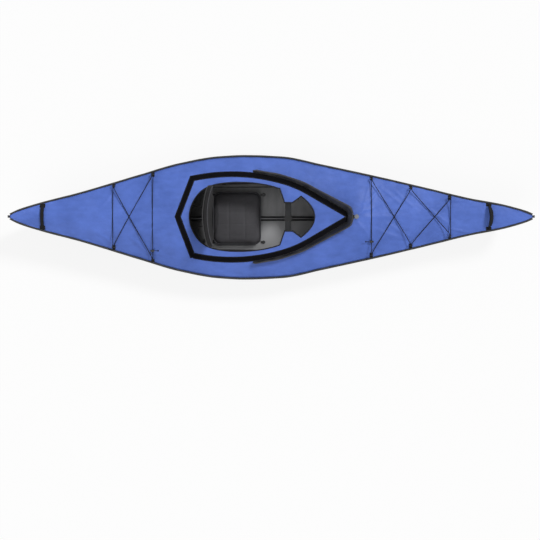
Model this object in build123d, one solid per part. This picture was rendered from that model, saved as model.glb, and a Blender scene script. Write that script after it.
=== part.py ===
from build123d import *
import os
from bisect import bisect_right
from math import atan2, cos, degrees, hypot, pi, radians, sin, sqrt, tan

# Single-seat folding kayak: a fabric deck and a coated hull skin over a take-apart frame.
# Millimetres, +X to the bow, +Y to port, +Z up, origin under the middle of the hull on the ground.

# Hull
LENGTH = 3900.0
BEAM = 936.0
SHEER_MID = 241.0
SHEER_END = 385.0
RIDGE_AFT = 361.0
RIDGE_COCKPIT = 334.0
RIDGE_PEAK = 361.0
RIDGE_DIP = 319.0
RIDGE_END = 388.0
STEM_HEIGHT = 375.0
HULL_SKIN = 2.5
DECK_SKIN = 2.0
PIPING_RADIUS = 7.0
KEEL_STRIP = 3.0
KEEL_STRIP_WIDTH = 90.0
STEM_BAND = 14.0
STEM_BAND_WIDTH = 18.0
STRIP_END = 1560.0
SEAM_GAP = 0.3
TIP_GAP = 2.0
STEM_PLACES = (1560.0, 1677.0, 1760.0, 1813.0, 1852.0, 1880.0, 1905.0, 1925.0, 1940.0, 1950.0)

# Cockpit opening and what is sewn round it
COCKPIT_REAR = -611.0
COCKPIT_WIDE_X = -290.0
COCKPIT_HALF_WIDTH = 258.0
FLAP_REAR_X = 66.0
FLAP_REAR_Y = 211.0
FLAP_TOP_REAR_X = 101.0
FLAP_TOP_FRONT_X = 159.0
FLAP_GAP = 108.0
FLAP_FRONT_X = 222.0
FLAP_FRONT_Y = 155.0
COCKPIT_FRONT = 325.0
HEM_WIDTH = 9.0
HEM_THICKNESS = 2.5
BAND_WIDTH = 44.0
BAND_THICKNESS = 2.2
BAND_REAR_APEX = -670.0
BAND_CORNER_X = -572.0
BAND_CORNER_Y = 268.0
BAND_WIDEST_X = -270.0
BAND_WIDEST_Y = 297.0
BAND_SHOULDER_X = 60.0
BAND_SHOULDER_Y = 250.0
BAND_FORE_X = 270.0
BAND_FORE_Y = 163.0
BAND_FRONT_APEX = 548.0
DEFLECTOR_START_X = -150.0
DEFLECTOR_HEIGHT = 27.0
DEFLECTOR_TIP_HEIGHT = 58.0
DEFLECTOR_WALL = 5.0
DEFLECTOR_LEAN = 25.0
DEFLECTOR_FOOT = 29.0
DEFLECTOR_BASE_Z = 300.0

# Keel tubes and end frames
KEEL_TUBE_RADIUS = 12.5
KEEL_TUBE_WALL = 2.0
KEEL_TUBE_Z = 19.5
KEEL_REACH = 850.0
KEEL_JOINT_X = 300.0
FERRULE_LENGTH = 110.0
FRAME_TUBE_RADIUS = 10.4
FRAME_TUBE_WALL = 1.8
FRAME_TUBE_SIDES = 12
FRAME_INSERT = 60.0
FIT_GAP = 0.1
FRAME_PLACES = (1280.0, 1520.0, 1700.0, 1800.0, 1850.0)
FRAME_TOP_X = 1872.0
FRAME_DECK_PLACES = (1740.0, 1590.0)
FRAME_DROP = 3.5
FRAME_END_GAP = 1.6

# Ribs
RIB_WIDTH = 45.0
RIB_THICKNESS = 6.0
RIB_FOOT_Z = 32.5
RIB_CORNER = 34.0
RIB_INSET = 4.0
RIB_SIDE_GAP = 4.0
AFT_END_RIB_X = -1400.0
SEAT_RIB_X = -660.0
THIGH_RIB_X = 130.0
FOREDECK_RIB_X = 648.0
FORE_END_RIB_X = 1400.0
CLIP_LENGTH = 60.0
CLIP_WIDTH = 32.0
CLIP_CAP_WIDTH = 42.0
CLIP_CAP = 8.0
CLIP_BOTTOM_Z = 8.0
END_CLIP_WALL = 3.0
END_RIB_FOOT = 30.0

# Air tubes and floor
AIR_TUBE_MID_RADIUS = 84.0
AIR_TUBE_REACH = 1460.0
AIR_TUBE_DROP = 0.38
AIR_TUBE_GAP = 4.0
AIR_TUBE_SIDES = 16
FLOOR_GAP = 36.0
FLOOR_BOTTOM_Z = 13.0
FLOOR_TOP_Z = 32.2
FLOOR_REAR = -620.0
FLOOR_FRONT = 600.0
FLOOR_HALF_WIDTH = 240.0

# Valves
VALVE_X = -356.0
VALVE_ANGLE = 38.0
VALVE_BASE_RADIUS = 26.0
VALVE_NECK_RADIUS = 15.0
VALVE_NECK_HEIGHT = 13.0
VALVE_CAP_RADIUS = 19.0
VALVE_CAP_HEIGHT = 15.0

# Seat
SEAT_REAR = -450.0
SEAT_FRONT = -73.0
SEAT_HALF_WIDTH = 207.0
SEAT_CORNER = 46.0
SEAT_PULL_IN = 5.0
SEAT_PAN_Z = 32.5
SEAT_PAN_THICKNESS = 8.0
CUSHION_HEIGHT = 40.0
CUSHION_EDGE = 15.0
CUSHION_CROWN = 7.0
CHANNEL_RADIUS = 5.0
BACK_AXIS_X = -476.0
BACK_AXIS_Z = 116.0
BACK_TOP_Z = 503.0
BACK_BOTTOM_Z = 130.0
BACK_HALF_TOP = 233.0
BACK_HALF_DECK = 190.0
BACK_HALF_BOTTOM = 172.0
BACK_FLARE_Z = 345.0
BACK_WIDE_Z = 436.0
BACK_CORNER = 62.0
BACK_PLAN_RADIUS = 690.0
BACK_PAD = 32.0
BACK_CENTRE_X = 202.0
BACK_EDGE = 11.0
BACK_BOARD = 6.0
BACK_BOARD_INSET = 6.0
BACK_LEAN = 2.5
HINGE_Y = 140.0
HINGE_PIN_RADIUS = 4.0
HINGE_TAB = 8.0
HINGE_LUG = 5.0
HINGE_EYE = 10.0
HINGE_PLAY = 0.4
SEAT_PAN_REAR = -500.0
SEAT_PAN_FRONT = -80.0
SEAT_PAN_HALF_WIDTH = 190.0
SEAT_CLIP_X = -58.0
SEAT_CLIP_Y = 182.0
SEAT_CLIP_RADIUS = 13.0
SEAT_CLIP_HEIGHT = 9.0
BACK_CORD_Y = 62.0
BACK_CORD_Z = 300.0
BACK_CORD_RADIUS = 2.5
ANCHOR_Y = 100.0
ANCHOR_RING = 9.0
ANCHOR_WIRE = 1.8
ANCHOR_DROP = 14.0
ANCHOR_STRAP = 2.5
ANCHOR_STRAP_WIDTH = 12.0

# Footrest
FOOTREST_X = 500.0
FOOTREST_Z = 150.0
FOOTREST_HALF_WIDTH = 140.0
FOOTREST_BAR_RADIUS = 9.0
FOOTREST_GRIP_RADIUS = 15.0
CLAMP_LENGTH = 50.0
CLAMP_WIDTH = 33.0

# Deck fittings
RING_RADIUS = 14.0
RING_WIRE = 2.2
RING_SIDES = 6
RING_INSET = 31.0
TAB_FOLD = 3.9
TAB_FOLD_WIDTH = 14.0
TAB_FOLD_RISE = 0.8
TAB_WIDTH = 24.0
TAB_LENGTH = 34.0
TAB_THICKNESS = 1.8
BOW_RING_XS = (749.0, 1042.0, 1331.0)
STERN_RING_XS = (-885.0, -1174.0)
CORD_RADIUS = 2.4
CORD_SIDES = 6
CORD_LIFT = 6.5
CORD_SHOULDER = 5.0
CROSSING_LIFT = 5.6
LOCK_RADIUS = 8.5
LOCK_BASE = 13.0
LOCK_MOUTH = 9.0
LOCK_FLOOR = 2.0
LOCK_GRIP = 0.4
LOCK_CAVITY = 6.6
BUTTON_RADIUS = 6.4
BUTTON_TRAVEL = 3.0
BUTTON_FOOT = 6.0
BUTTON_HEAD = 16.0
BOW_LOCK_DISTANCE = 84.0
STERN_LOCK_DISTANCE = 50.0
LACING_BEND = 150.0
RING_LEG = 16.0
LEG_SHIFT = 3.0
CORD_PLAY = 0.35
TAIL_RUNS = ((13.0, 0.0), (10.0, 7.0), (7.0, 14.0))
KNOT_RADIUS = 5.5

# Carry handles
BOW_HANDLE_X = 1618.0
STERN_HANDLE_X = -1699.0
HANDLE_WEBBING = 40.0
HANDLE_ROLL = 26.0
HANDLE_THICKNESS = 4.0
BOW_HANDLE_RISE = 44.0
STERN_HANDLE_RISE = 12.0
HANDLE_FOOT_INSET = 24.0
HANDLE_EYE = 7.0
HANDLE_EYE_GAP = 2.5
HANDLE_LEAN = 20.0
HANDLE_EAR = 3.0

HALF_LENGTH = LENGTH / 2
SKIN_END = HALF_LENGTH - STEM_BAND - TIP_GAP
STEM_SCALE = HALF_LENGTH / (HALF_LENGTH - STEM_BAND)

# Plan and profile of the hull, as shares of the half length and of the half beam.
BEAM_SHARES = [
    (-1.0, 0.03), (-0.96, 0.115), (-0.88, 0.225), (-0.73, 0.392), (-0.5, 0.686), (-0.35, 0.87),
    (-0.2, 0.98), (-0.1, 1.0), (0.04, 0.977), (0.2, 0.842), (0.42, 0.64), (0.6, 0.46), (0.76, 0.296),
    (0.88, 0.198), (0.97, 0.088), (1.0, 0.03),
]
KEEL_SHARES = [
    (0.0, 0.0), (0.42, 0.0), (0.58, 0.021), (0.75, 0.077), (0.86, 0.152), (0.91, 0.265),
    (0.95, 0.44), (0.975, 0.65), (1.0, 1.0),
]
FULLNESS = [(0.0, 3.0), (0.3, 2.9), (0.5, 2.3), (0.7, 1.65), (0.85, 1.35), (1.0, 1.25)]
SHEER_SHARES = [
    (-1.0, 1.0), (-0.9, 0.72), (-0.7, 0.5), (-0.45, 0.2), (-0.1, 0.0), (0.2, 0.11), (0.5, 0.3),
    (0.75, 0.52), (0.9, 0.76), (1.0, 1.0),
]
DECK_ARCH = [
    (-1.0, 1.8), (-0.6, 1.9), (-0.36, 2.3), (-0.2, 3.6), (0.12, 3.6), (0.33, 2.1), (0.6, 1.8), (1.0, 1.8),
]
STATIONS = (
    -0.97, -0.93, -0.86, -0.76, -0.63, -0.5, -0.4, -0.33, -0.26, -0.12, 0.02, 0.15, 0.24, 0.33, 0.41,
    0.5, 0.6, 0.7, 0.79, 0.86, 0.93, 0.97,
)


def smooth(stations):
    """A monotone cubic curve through the stations, as a function of its first value."""
    xs = [station[0] for station in stations]
    ys = [station[1] for station in stations]
    slopes = [(y2 - y1) / (x2 - x1) for x1, x2, y1, y2 in zip(xs, xs[1:], ys, ys[1:])]
    inner = [0.0 if a * b <= 0 else 2 * a * b / (a + b) for a, b in zip(slopes, slopes[1:])]
    tangents = [slopes[0]] + inner + [slopes[-1]]

    def value(x):
        i = max(0, min(len(slopes) - 1, bisect_right(xs, x) - 1))
        width = xs[i + 1] - xs[i]
        t = (x - xs[i]) / width
        rise = ys[i] * (1 + 2 * t) * (1 - t) ** 2 + ys[i + 1] * t * t * (3 - 2 * t)
        return rise + width * (tangents[i] * t * (1 - t) ** 2 - tangents[i + 1] * t * t * (1 - t))

    return value


SKIN_SHARES = (-SKIN_END / HALF_LENGTH,) + STATIONS + (SKIN_END / HALF_LENGTH,)


def laid(curve):
    """A curve as the skins lie: straight from one section to the next."""
    heights = [curve(share) for share in SKIN_SHARES]

    def value(share):
        if not SKIN_SHARES[0] <= share <= SKIN_SHARES[-1]:
            return curve(share)
        i = min(len(SKIN_SHARES) - 1, bisect_right(SKIN_SHARES, share))
        t = (share - SKIN_SHARES[i - 1]) / (SKIN_SHARES[i] - SKIN_SHARES[i - 1])
        return heights[i - 1] * (1 - t) + heights[i] * t

    return value


beam_share = laid(smooth(BEAM_SHARES))
keel_share = smooth(KEEL_SHARES)
fullness_curve = smooth(FULLNESS)
fullness = laid(lambda share: fullness_curve(abs(share)))
sheer_share = laid(smooth(SHEER_SHARES))
deck_arch = laid(smooth(DECK_ARCH))
skin_keel_share = laid(lambda share: keel_share(abs(share) * STEM_SCALE))
ridge_height = laid(smooth([
    (-1.0, RIDGE_END), (-0.9, RIDGE_AFT + 5), (-0.8, RIDGE_AFT - 1), (-0.37, RIDGE_AFT),
    (-0.26, RIDGE_COCKPIT), (0.15, RIDGE_COCKPIT), (0.25, RIDGE_PEAK - 14), (0.33, RIDGE_PEAK),
    (0.41, RIDGE_DIP + 12), (0.58, RIDGE_DIP), (0.7, RIDGE_DIP + 7), (0.82, RIDGE_AFT - 15),
    (0.92, RIDGE_AFT + 5), (1.0, RIDGE_END),
]))


def outer_half(x):
    """Half breadth over the piping."""
    return BEAM / 2 * beam_share(x / HALF_LENGTH)


def skin_half(x):
    """Half breadth of the hull and deck skins, just inside the piping."""
    return outer_half(x) - 2 * PIPING_RADIUS - SEAM_GAP


def sheer_z(x):
    return SHEER_MID + (SHEER_END - SHEER_MID) * sheer_share(x / HALF_LENGTH)


def keel_z(x):
    """Lowest line of the boat, seen from the side."""
    return STEM_HEIGHT * keel_share(abs(x) / HALF_LENGTH)


def skin_keel_z(x):
    """Lowest line of the hull skin, which the keel strip and the stem bands cover."""
    return STEM_HEIGHT * skin_keel_share(x / HALF_LENGTH) + KEEL_STRIP + SEAM_GAP


def deck_z(x, y):
    """Upper face of the deck."""
    edge = sheer_z(x) + SEAM_GAP * 2 + DECK_SKIN
    crown = ridge_height(x / HALF_LENGTH) - edge
    return edge + crown * (1 - (abs(y) / skin_half(x)) ** deck_arch(x / HALF_LENGTH))


def hull_inside(x, inset=0.0):
    """Half breadth, depth and fullness of the space inside the hull skin, less an inset."""
    half = skin_half(x)
    depth = sheer_z(x) - skin_keel_z(x)
    steep = 1 + (hypot(half, depth) / half - 1) * (3.0 - fullness(x / HALF_LENGTH)) / 2
    wall = HULL_SKIN + inset
    return half - wall, depth - wall * steep, fullness(x / HALF_LENGTH)


def inside_half(x, z, inset=0.0):
    """Half breadth inside the hull skin at the height z."""
    half, depth, power = hull_inside(x, inset)
    drop = min(1.0, max(0.0, (sheer_z(x) - z) / depth))
    return half * (1 - drop**power) ** (1 / power)


def inside_floor(x, half_width):
    """Lowest height inside the hull skin that is as wide as the half width given."""
    half, depth, power = hull_inside(x)
    return sheer_z(x) - depth * (1 - min(1.0, half_width / half) ** power) ** (1 / power)


def hull_curve(x, half, depth, power):
    """U-shaped section of the hull, from the port sheer round the keel to starboard."""
    points = []
    steps = 12
    for i in range(steps + 1):
        angle = pi * i / steps
        across = cos(angle)
        side = 1 if across >= 0 else -1
        y = side * half * abs(across) ** (2 / power)
        points.append((x, y, sheer_z(x) - depth * sin(angle) ** (2 / power)))
    return points


def thin_section(outer, inner):
    """Closed wire between an outer and an inner curve."""
    edges = [
        Edge.make_spline([Vector(*point) for point in outer]),
        Edge.make_line(Vector(*outer[-1]), Vector(*inner[-1])),
        Edge.make_spline([Vector(*point) for point in reversed(inner)]),
        Edge.make_line(Vector(*inner[0]), Vector(*outer[0])),
    ]
    return Wire(edges)


def skin_stations():
    """Lengthwise places of the sections that every skin has, with one at each end."""
    return [share * HALF_LENGTH for share in SKIN_SHARES]


def make_hull_skin():
    sections = []
    for x in skin_stations():
        half = skin_half(x)
        depth = sheer_z(x) - skin_keel_z(x)
        outer = hull_curve(x, half, depth, fullness(x / HALF_LENGTH))
        sections.append(thin_section(outer, hull_curve(x, *hull_inside(x))))
    return Solid.make_loft(sections, ruled=True)


DECK_ACROSS = (-1.0, -0.9, -0.65, -0.32, 0.0, 0.32, 0.65, 0.9, 1.0)


def deck_layer(bottom, top):
    """Sheet that follows the deck between two heights above it, the upper of which may vary with x."""
    sections = []
    for x in skin_stations():
        ys = [share * skin_half(x) for share in DECK_ACROSS]
        rise = top(x) if callable(top) else top
        upper = [(x, y, deck_z(x, y) + rise) for y in ys]
        lower = [(x, y, deck_z(x, y) + bottom) for y in ys]
        sections.append(thin_section(upper, lower))
    return Solid.make_loft(sections, ruled=True)


def mirrored_outline(half_edges):
    """Closed face from the edges of its port half, which start and end on the centreline."""
    port = Wire(half_edges)
    starboard = port.mirror(Plane.XZ)
    face = Face(Wire(port.edges() + starboard.edges()))
    return face if face.normal_at().Z > 0 else -face


def cockpit_face(inset=0.0):
    """Keyhole of the cockpit, with a flap on each side over the thigh rib."""
    rear = (COCKPIT_REAR + inset, 0)
    wide = (COCKPIT_WIDE_X, COCKPIT_HALF_WIDTH - inset)
    corner = (FLAP_REAR_X - inset * 0.3, FLAP_REAR_Y - inset)
    edges = [
        Edge.make_spline(
            [Vector(*rear), Vector(-549 + 0.8 * inset, 166 - 0.6 * inset), Vector(*wide), Vector(*corner)],
            tangents=[Vector(0, 1), Vector(1, -0.42)],
        ),
        Edge.make_line(Vector(*corner), Vector(FLAP_TOP_REAR_X - inset, FLAP_GAP - inset)),
        Edge.make_line(
            Vector(FLAP_TOP_REAR_X - inset, FLAP_GAP - inset), Vector(FLAP_TOP_FRONT_X + inset, FLAP_GAP - inset)
        ),
        Edge.make_line(
            Vector(FLAP_TOP_FRONT_X + inset, FLAP_GAP - inset),
            Vector(FLAP_FRONT_X, FLAP_FRONT_Y - 1.4 * inset),
        ),
        Edge.make_spline(
            [Vector(FLAP_FRONT_X, FLAP_FRONT_Y - 1.4 * inset), Vector(COCKPIT_FRONT - inset, 0)],
            tangents=[Vector(1, -0.75), Vector(0, -1)],
        ),
    ]
    return mirrored_outline(edges)


def band_face(outset=0.0):
    """Pointed outline inside the skirt band round the cockpit, with every side moved out."""
    corner = Vector(BAND_CORNER_X, BAND_CORNER_Y)
    shoulder = Vector(BAND_SHOULDER_X, BAND_SHOULDER_Y)
    fore = Vector(BAND_FORE_X, BAND_FORE_Y)
    side = Edge.make_three_point_arc(corner, Vector(BAND_WIDEST_X, BAND_WIDEST_Y), shoulder)
    edges = [
        Edge.make_line(Vector(BAND_REAR_APEX, 0), corner),
        side,
        Edge.make_tangent_arc(shoulder, side % 1, fore),
        Edge.make_line(fore, Vector(BAND_FRONT_APEX, 0)),
    ]
    outline = mirrored_outline(edges)
    return offset(outline, outset, kind=Kind.INTERSECTION).face() if outset else outline


def upright(face, low=0.0, high=600.0):
    """Prism of a plan outline between two heights."""
    return extrude(Pos(0, 0, low) * face, high - low, dir=(0, 0, 1))


def make_deck_skin():
    return deck_layer(-DECK_SKIN, 0.0) - upright(cockpit_face())


def make_cockpit_hem():
    """Binding sewn round the edge of the cockpit opening."""
    ring = upright(cockpit_face(SEAM_GAP * 2)) - upright(cockpit_face(HEM_WIDTH))
    return deck_layer(-DECK_SKIN - 1, HEM_THICKNESS) & ring


def make_skirt_band():
    """Flat hook-and-loop band that a spray skirt closes on."""
    ring = upright(band_face(BAND_WIDTH)) - upright(band_face())
    return deck_layer(SEAM_GAP, SEAM_GAP + BAND_THICKNESS) & ring


def make_spray_deflector():
    """Raised wall that leans out over the band's outer edge and turns spray off at the bow."""
    outer = band_face(DEFLECTOR_FOOT + DEFLECTOR_WALL)
    inner = band_face(DEFLECTOR_FOOT)
    reach = 200.0
    wall = extrude(Pos(0, 0, DEFLECTOR_BASE_Z) * outer, reach, taper=-DEFLECTOR_LEAN)
    wall -= extrude(Pos(0, 0, DEFLECTOR_BASE_Z) * inner, reach, taper=-DEFLECTOR_LEAN)
    wall &= Pos(DEFLECTOR_START_X + HALF_LENGTH, 0, DEFLECTOR_BASE_Z) * Box(LENGTH, BEAM, 2 * reach)
    tip_x = BAND_FRONT_APEX + BAND_WIDTH

    def crest(x):
        share = min(1.0, max(0.0, (x - DEFLECTOR_START_X) / (tip_x - DEFLECTOR_START_X)))
        return DEFLECTOR_HEIGHT + (DEFLECTOR_TIP_HEIGHT - DEFLECTOR_HEIGHT) * share**2

    foot = SEAM_GAP + BAND_THICKNESS + SEAM_GAP
    return wall & deck_layer(foot, crest)


def make_piping():
    """Piping that covers the seam of deck and hull, on both sides."""
    rolls = []
    for x in skin_stations():
        centre = Vector(x, outer_half(x) - PIPING_RADIUS, sheer_z(x) + DECK_SKIN / 2)
        plane = Plane(centre, x_dir=(0, 1, 0), z_dir=(1, 0, 0))
        rolls.append((plane * RegularPolygon(PIPING_RADIUS, 8)).face().outer_wire())
    port = Solid.make_loft(rolls, ruled=True)
    return Compound([port, port.mirror(Plane.XZ)])


def keel_line(start, end, lift):
    """Points of the keel between two places, at every section of the skin, lifted to the skin or not."""
    low, high = min(start, end), max(start, end)
    xs = [low] + [x for x in skin_stations() if low < x < high] + [high]
    points = [(x, skin_keel_z(x) - SEAM_GAP - (0 if lift else KEEL_STRIP)) for x in xs]
    return points if start < end else points[::-1]


def make_stem_band(side):
    """Binding down the stem, from the tip to where the keel strip starts."""
    tip = side * HALF_LENGTH
    inner_end = side * (HALF_LENGTH - STEM_BAND)
    outer = [(side * x, keel_z(x)) for x in STEM_PLACES]
    outer[0] = (side * STRIP_END, skin_keel_z(STRIP_END) - SEAM_GAP - KEEL_STRIP)
    inner = keel_line(inner_end, side * STRIP_END, True)
    points = outer + [(tip, RIDGE_END), (inner_end, RIDGE_END)] + inner
    half = STEM_BAND_WIDTH / 2
    face = Plane.XZ * make_face(Polyline(*points, close=True))
    return extrude(Pos(0, -half, 0) * face, 2 * half, dir=(0, 1, 0)).solid()


def make_keel_strip():
    """Wear strip under the keel, flat on the ground over the straight middle of the hull."""
    end = STRIP_END - SEAM_GAP
    flat = KEEL_SHARES[1][0] * (HALF_LENGTH - STEM_BAND)
    outline = Polyline(*keel_line(-end, end, False), *keel_line(end, -end, True), close=True)
    half = KEEL_STRIP_WIDTH / 2
    narrow = STEM_BAND_WIDTH / 2
    plan = Polyline(
        (-STRIP_END, narrow), (-flat, half), (flat, half), (STRIP_END, narrow),
        (STRIP_END, -narrow), (flat, -half), (-flat, -half), (-STRIP_END, -narrow), close=True,
    )
    strip = extrude(Pos(0, -half, 0) * (Plane.XZ * make_face(outline)), 2 * half, dir=(0, 1, 0))
    return (strip & upright(make_face(plan), -1.0, 100.0)).solid()


def tube_along(start, end, outer, inner):
    """Straight round tube parallel to X."""
    length = end - start
    solid = Cylinder(outer, length) - Cylinder(inner, length)
    return Pos((start + end) / 2, 0, KEEL_TUBE_Z) * Rot(0, 90, 0) * solid


def make_keel_tube(start, end):
    return tube_along(start, end, KEEL_TUBE_RADIUS, KEEL_TUBE_RADIUS - KEEL_TUBE_WALL)


def make_ferrules():
    """Sleeves inside the joints of the keel tubes."""
    outer = KEEL_TUBE_RADIUS - KEEL_TUBE_WALL - FIT_GAP
    inner = outer - KEEL_TUBE_WALL
    half = FERRULE_LENGTH / 2
    return Compound([
        tube_along(x - half, x + half, outer, inner).solid() for x in (-KEEL_JOINT_X, KEEL_JOINT_X)
    ])


def frame_z(x):
    """Height of an end frame's lower tube, where the bottom of the hull leaves it room."""
    return inside_floor(x, 0.9 * FRAME_TUBE_RADIUS) + FRAME_TUBE_RADIUS + 1.0


def under_deck_z(x, y=FRAME_TUBE_RADIUS):
    """Underside of the deck at the half width given."""
    return deck_z(x, y) - DECK_SKIN


def bent_path(points, largest):
    """Runs joined by tangent arcs, each as large as its two runs allow, up to the largest."""
    corners = [Vector(*point) for point in points]
    radii = []
    for before, corner, after in zip(corners, corners[1:], corners[2:]):
        inward = corner - before
        outward = after - corner
        half_turn = radians(inward.get_angle(outward)) / 2
        room = 0.45 * min(inward.length, outward.length) / tan(half_turn)
        radii.append(min(room, largest))
    return FilletPolyline(*corners, radius=radii)


def frame_line(x):
    """Height of an end frame's lower tube in its straight run through the end rib."""
    side = 1 if x > 0 else -1
    low, high = side * FRAME_PLACES[0], side * FRAME_PLACES[1]
    return frame_z(low) + (frame_z(high) - frame_z(low)) * (x - low) / (high - low)


def end_frame_path(side):
    """Route of an end frame: from the keel up the stem and back under the deck to the end rib."""
    end_rib = FORE_END_RIB_X if side > 0 else AFT_END_RIB_X
    start = side * (KEEL_REACH - FRAME_INSERT)
    tube_drop = FRAME_TUBE_RADIUS + FRAME_DROP
    top = side * FRAME_TOP_X
    rib_face = end_rib + side * (RIB_WIDTH / 2 + FRAME_END_GAP)
    points = [Vector(start, 0, KEEL_TUBE_Z), Vector(side * (KEEL_REACH + 30), 0, KEEL_TUBE_Z)]
    points += [Vector(side * x, 0, frame_z(side * x)) for x in FRAME_PLACES]
    under = [top] + [side * x for x in FRAME_DECK_PLACES] + [rib_face]
    points += [Vector(x, 0, under_deck_z(x) - tube_drop) for x in under]
    return bent_path(points, 300.0)


def make_end_frame(side):
    """Bent tube that stretches the hull at one end, open where it enters the keel tube."""
    path = end_frame_path(side)
    start = Plane(path @ 0, x_dir=(0, 1, 0), z_dir=(side, 0, 0))
    bar = sweep(start * RegularPolygon(FRAME_TUBE_RADIUS, FRAME_TUBE_SIDES), path=path)
    return (bar - start * Cylinder(FRAME_TUBE_RADIUS - FRAME_TUBE_WALL, 2 * FRAME_INSERT)).solid()


def air_tube_section(x):
    """Centre and radius of the port air tube, as far out as the hull's inside lets it lie."""
    radius = AIR_TUBE_MID_RADIUS * skin_half(x) / skin_half(0)
    z = sheer_z(x) - AIR_TUBE_DROP * (sheer_z(x) - skin_keel_z(x))
    turns = [pi * i / 16 for i in range(-8, 9)]
    y = min(inside_half(x, z + radius * sin(a), AIR_TUBE_GAP) - radius * cos(a) for a in turns)
    return y, z, radius


def air_tube_inner(x):
    """Inboard side of the port air tube."""
    y, _, radius = air_tube_section(x)
    return y - radius


def make_air_tube(side, grow=0.0):
    """Inflated tube along the inside of the hull's side, drawn in at both ends."""
    inside = [share * HALF_LENGTH for share in STATIONS if abs(share) * HALF_LENGTH < AIR_TUBE_REACH - 40]
    ends = [(AIR_TUBE_REACH, 0.8), (AIR_TUBE_REACH + 22, 0.45)]
    places = [(-x, share) for x, share in reversed(ends)] + [(x, 1.0) for x in inside] + ends
    rounds = []
    for x, share in places:
        y, z, radius = air_tube_section(x)
        plane = Plane(Vector(x, side * y, z), x_dir=(0, 1, 0), z_dir=(1, 0, 0))
        outline = plane * RegularPolygon(radius * share + grow, AIR_TUBE_SIDES)
        rounds.append(outline.face().outer_wire())
    return Solid.make_loft(rounds, ruled=True)


def rib_foot_z(x):
    """Underside of a rib's foot, on the keel tube or on an end frame's tube."""
    if abs(x) < KEEL_REACH:
        return RIB_FOOT_Z
    return max(frame_line(x - RIB_WIDTH / 2), frame_line(x + RIB_WIDTH / 2)) + FRAME_TUBE_RADIUS + 2 * SEAM_GAP


def rib_arch(x, side_half):
    """Heights of a rib's arch at its sides and at its crown."""
    faces = (x - RIB_WIDTH / 2, x + RIB_WIDTH / 2)
    return tuple(min(under_deck_z(face, y) for face in faces) - RIB_INSET for y in (side_half, 0))


def arch_top(x, side_half, y):
    """Height of a rib's arch at the half width y."""
    top, crest = rib_arch(x, side_half)
    rise = crest - top
    radius = (side_half**2 + rise**2) / (2 * rise)
    return crest - radius + sqrt(radius**2 - y**2)


def rib_side(x):
    """Half width of a rib, clear of the air tubes beside both of its faces."""
    return min(air_tube_inner(x - RIB_WIDTH), air_tube_inner(x + RIB_WIDTH)) - RIB_SIDE_GAP


def make_rib(x, foot_half, side_half, gap=0.0):
    """Cross frame of flat section: a foot over the keel, two sides and an arch under the deck."""
    near = x - RIB_WIDTH / 2
    far = x + RIB_WIDTH / 2
    foot = rib_foot_z(x)
    chine = max(inside_floor(near, side_half + 4), inside_floor(far, side_half + 4), foot) + 8
    top, crest = rib_arch(x, side_half)
    plane = Plane(Vector(near, 0, 0), x_dir=(0, 1, 0), z_dir=(1, 0, 0))
    sides = Polyline((side_half, top), (side_half, chine), (foot_half, foot), (-foot_half, foot),
                     (-side_half, chine), (-side_half, top))
    arch = ThreePointArc((-side_half, top), (0, crest), (side_half, top))
    outline = make_face([*sides.edges(), arch])
    outline = fillet(outline.vertices(), min(RIB_CORNER, 0.3 * side_half))
    ring = outline - offset(outline, -RIB_THICKNESS, kind=Kind.INTERSECTION)
    rib = extrude(plane * ring, RIB_WIDTH, dir=(1, 0, 0))
    if gap:
        rib -= Pos(x, 0, 500) * Box(2 * RIB_WIDTH, 2 * gap, 2 * (500 - 0.5 * (foot + top)))
    return rib


def clip_block(x, low_z, cap_z, half):
    """Block over a rib's foot, slotted for the rib."""
    height = cap_z + CLIP_CAP - low_z
    body = Pos(x, 0, low_z + height / 2) * Box(CLIP_LENGTH, 2 * half, height)
    slot_height = cap_z - low_z + 50
    return body - Pos(x, 0, cap_z - slot_height / 2) * Box(RIB_WIDTH + 2 * SEAM_GAP, 200, slot_height)


def make_keel_clip(x):
    """Clip over a rib's foot whose two legs snap round the keel tube."""
    cap_z = RIB_FOOT_Z + RIB_THICKNESS + SEAM_GAP
    body = clip_block(x, CLIP_BOTTOM_Z, cap_z, CLIP_WIDTH / 2)
    body += Pos(x, 0, cap_z + CLIP_CAP / 2) * Box(CLIP_LENGTH - 12, CLIP_CAP_WIDTH, CLIP_CAP)
    bore = Pos(x, 0, KEEL_TUBE_Z) * Rot(0, 90, 0) * Cylinder(KEEL_TUBE_RADIUS + FIT_GAP, 2 * CLIP_LENGTH)
    return (body - bore).solid()


def make_end_clip(x):
    """Narrow clip over an end rib's foot, half way round the end frame's tube."""
    low_z = min(frame_line(x - CLIP_LENGTH / 2), frame_line(x + CLIP_LENGTH / 2))
    body = clip_block(x, low_z, rib_foot_z(x) + RIB_THICKNESS + SEAM_GAP, FRAME_TUBE_RADIUS + END_CLIP_WALL)
    slope = degrees(atan2(frame_line(x + 50) - frame_line(x - 50), 100))
    bore = Rot(0, 90 - slope, 0) * Cylinder(FRAME_TUBE_RADIUS + SEAM_GAP, 3 * CLIP_LENGTH)
    return (body - Pos(x, 0, frame_line(x)) * bore).solid()


def make_floor_panel(side):
    """Foam floor panel beside the keel tube, chamfered to the turn of the bilge."""
    sections = []
    for x in (FLOOR_REAR, -290.0, 40.0, 330.0, FLOOR_FRONT):
        low = inside_half(x, FLOOR_BOTTOM_Z) - 7
        edge_z = FLOOR_BOTTOM_Z + 15
        wide = min(FLOOR_HALF_WIDTH, inside_half(x, edge_z) - 8)
        low = min(low, wide - 10)
        points = [
            (FLOOR_GAP / 2, FLOOR_BOTTOM_Z), (low, FLOOR_BOTTOM_Z), (wide, edge_z), (wide, FLOOR_TOP_Z),
            (FLOOR_GAP / 2, FLOOR_TOP_Z),
        ]
        sections.append(Wire.make_polygon([Vector(x, side * y, z) for y, z in points], close=True))
    return Solid.make_loft(sections, ruled=True)


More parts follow.
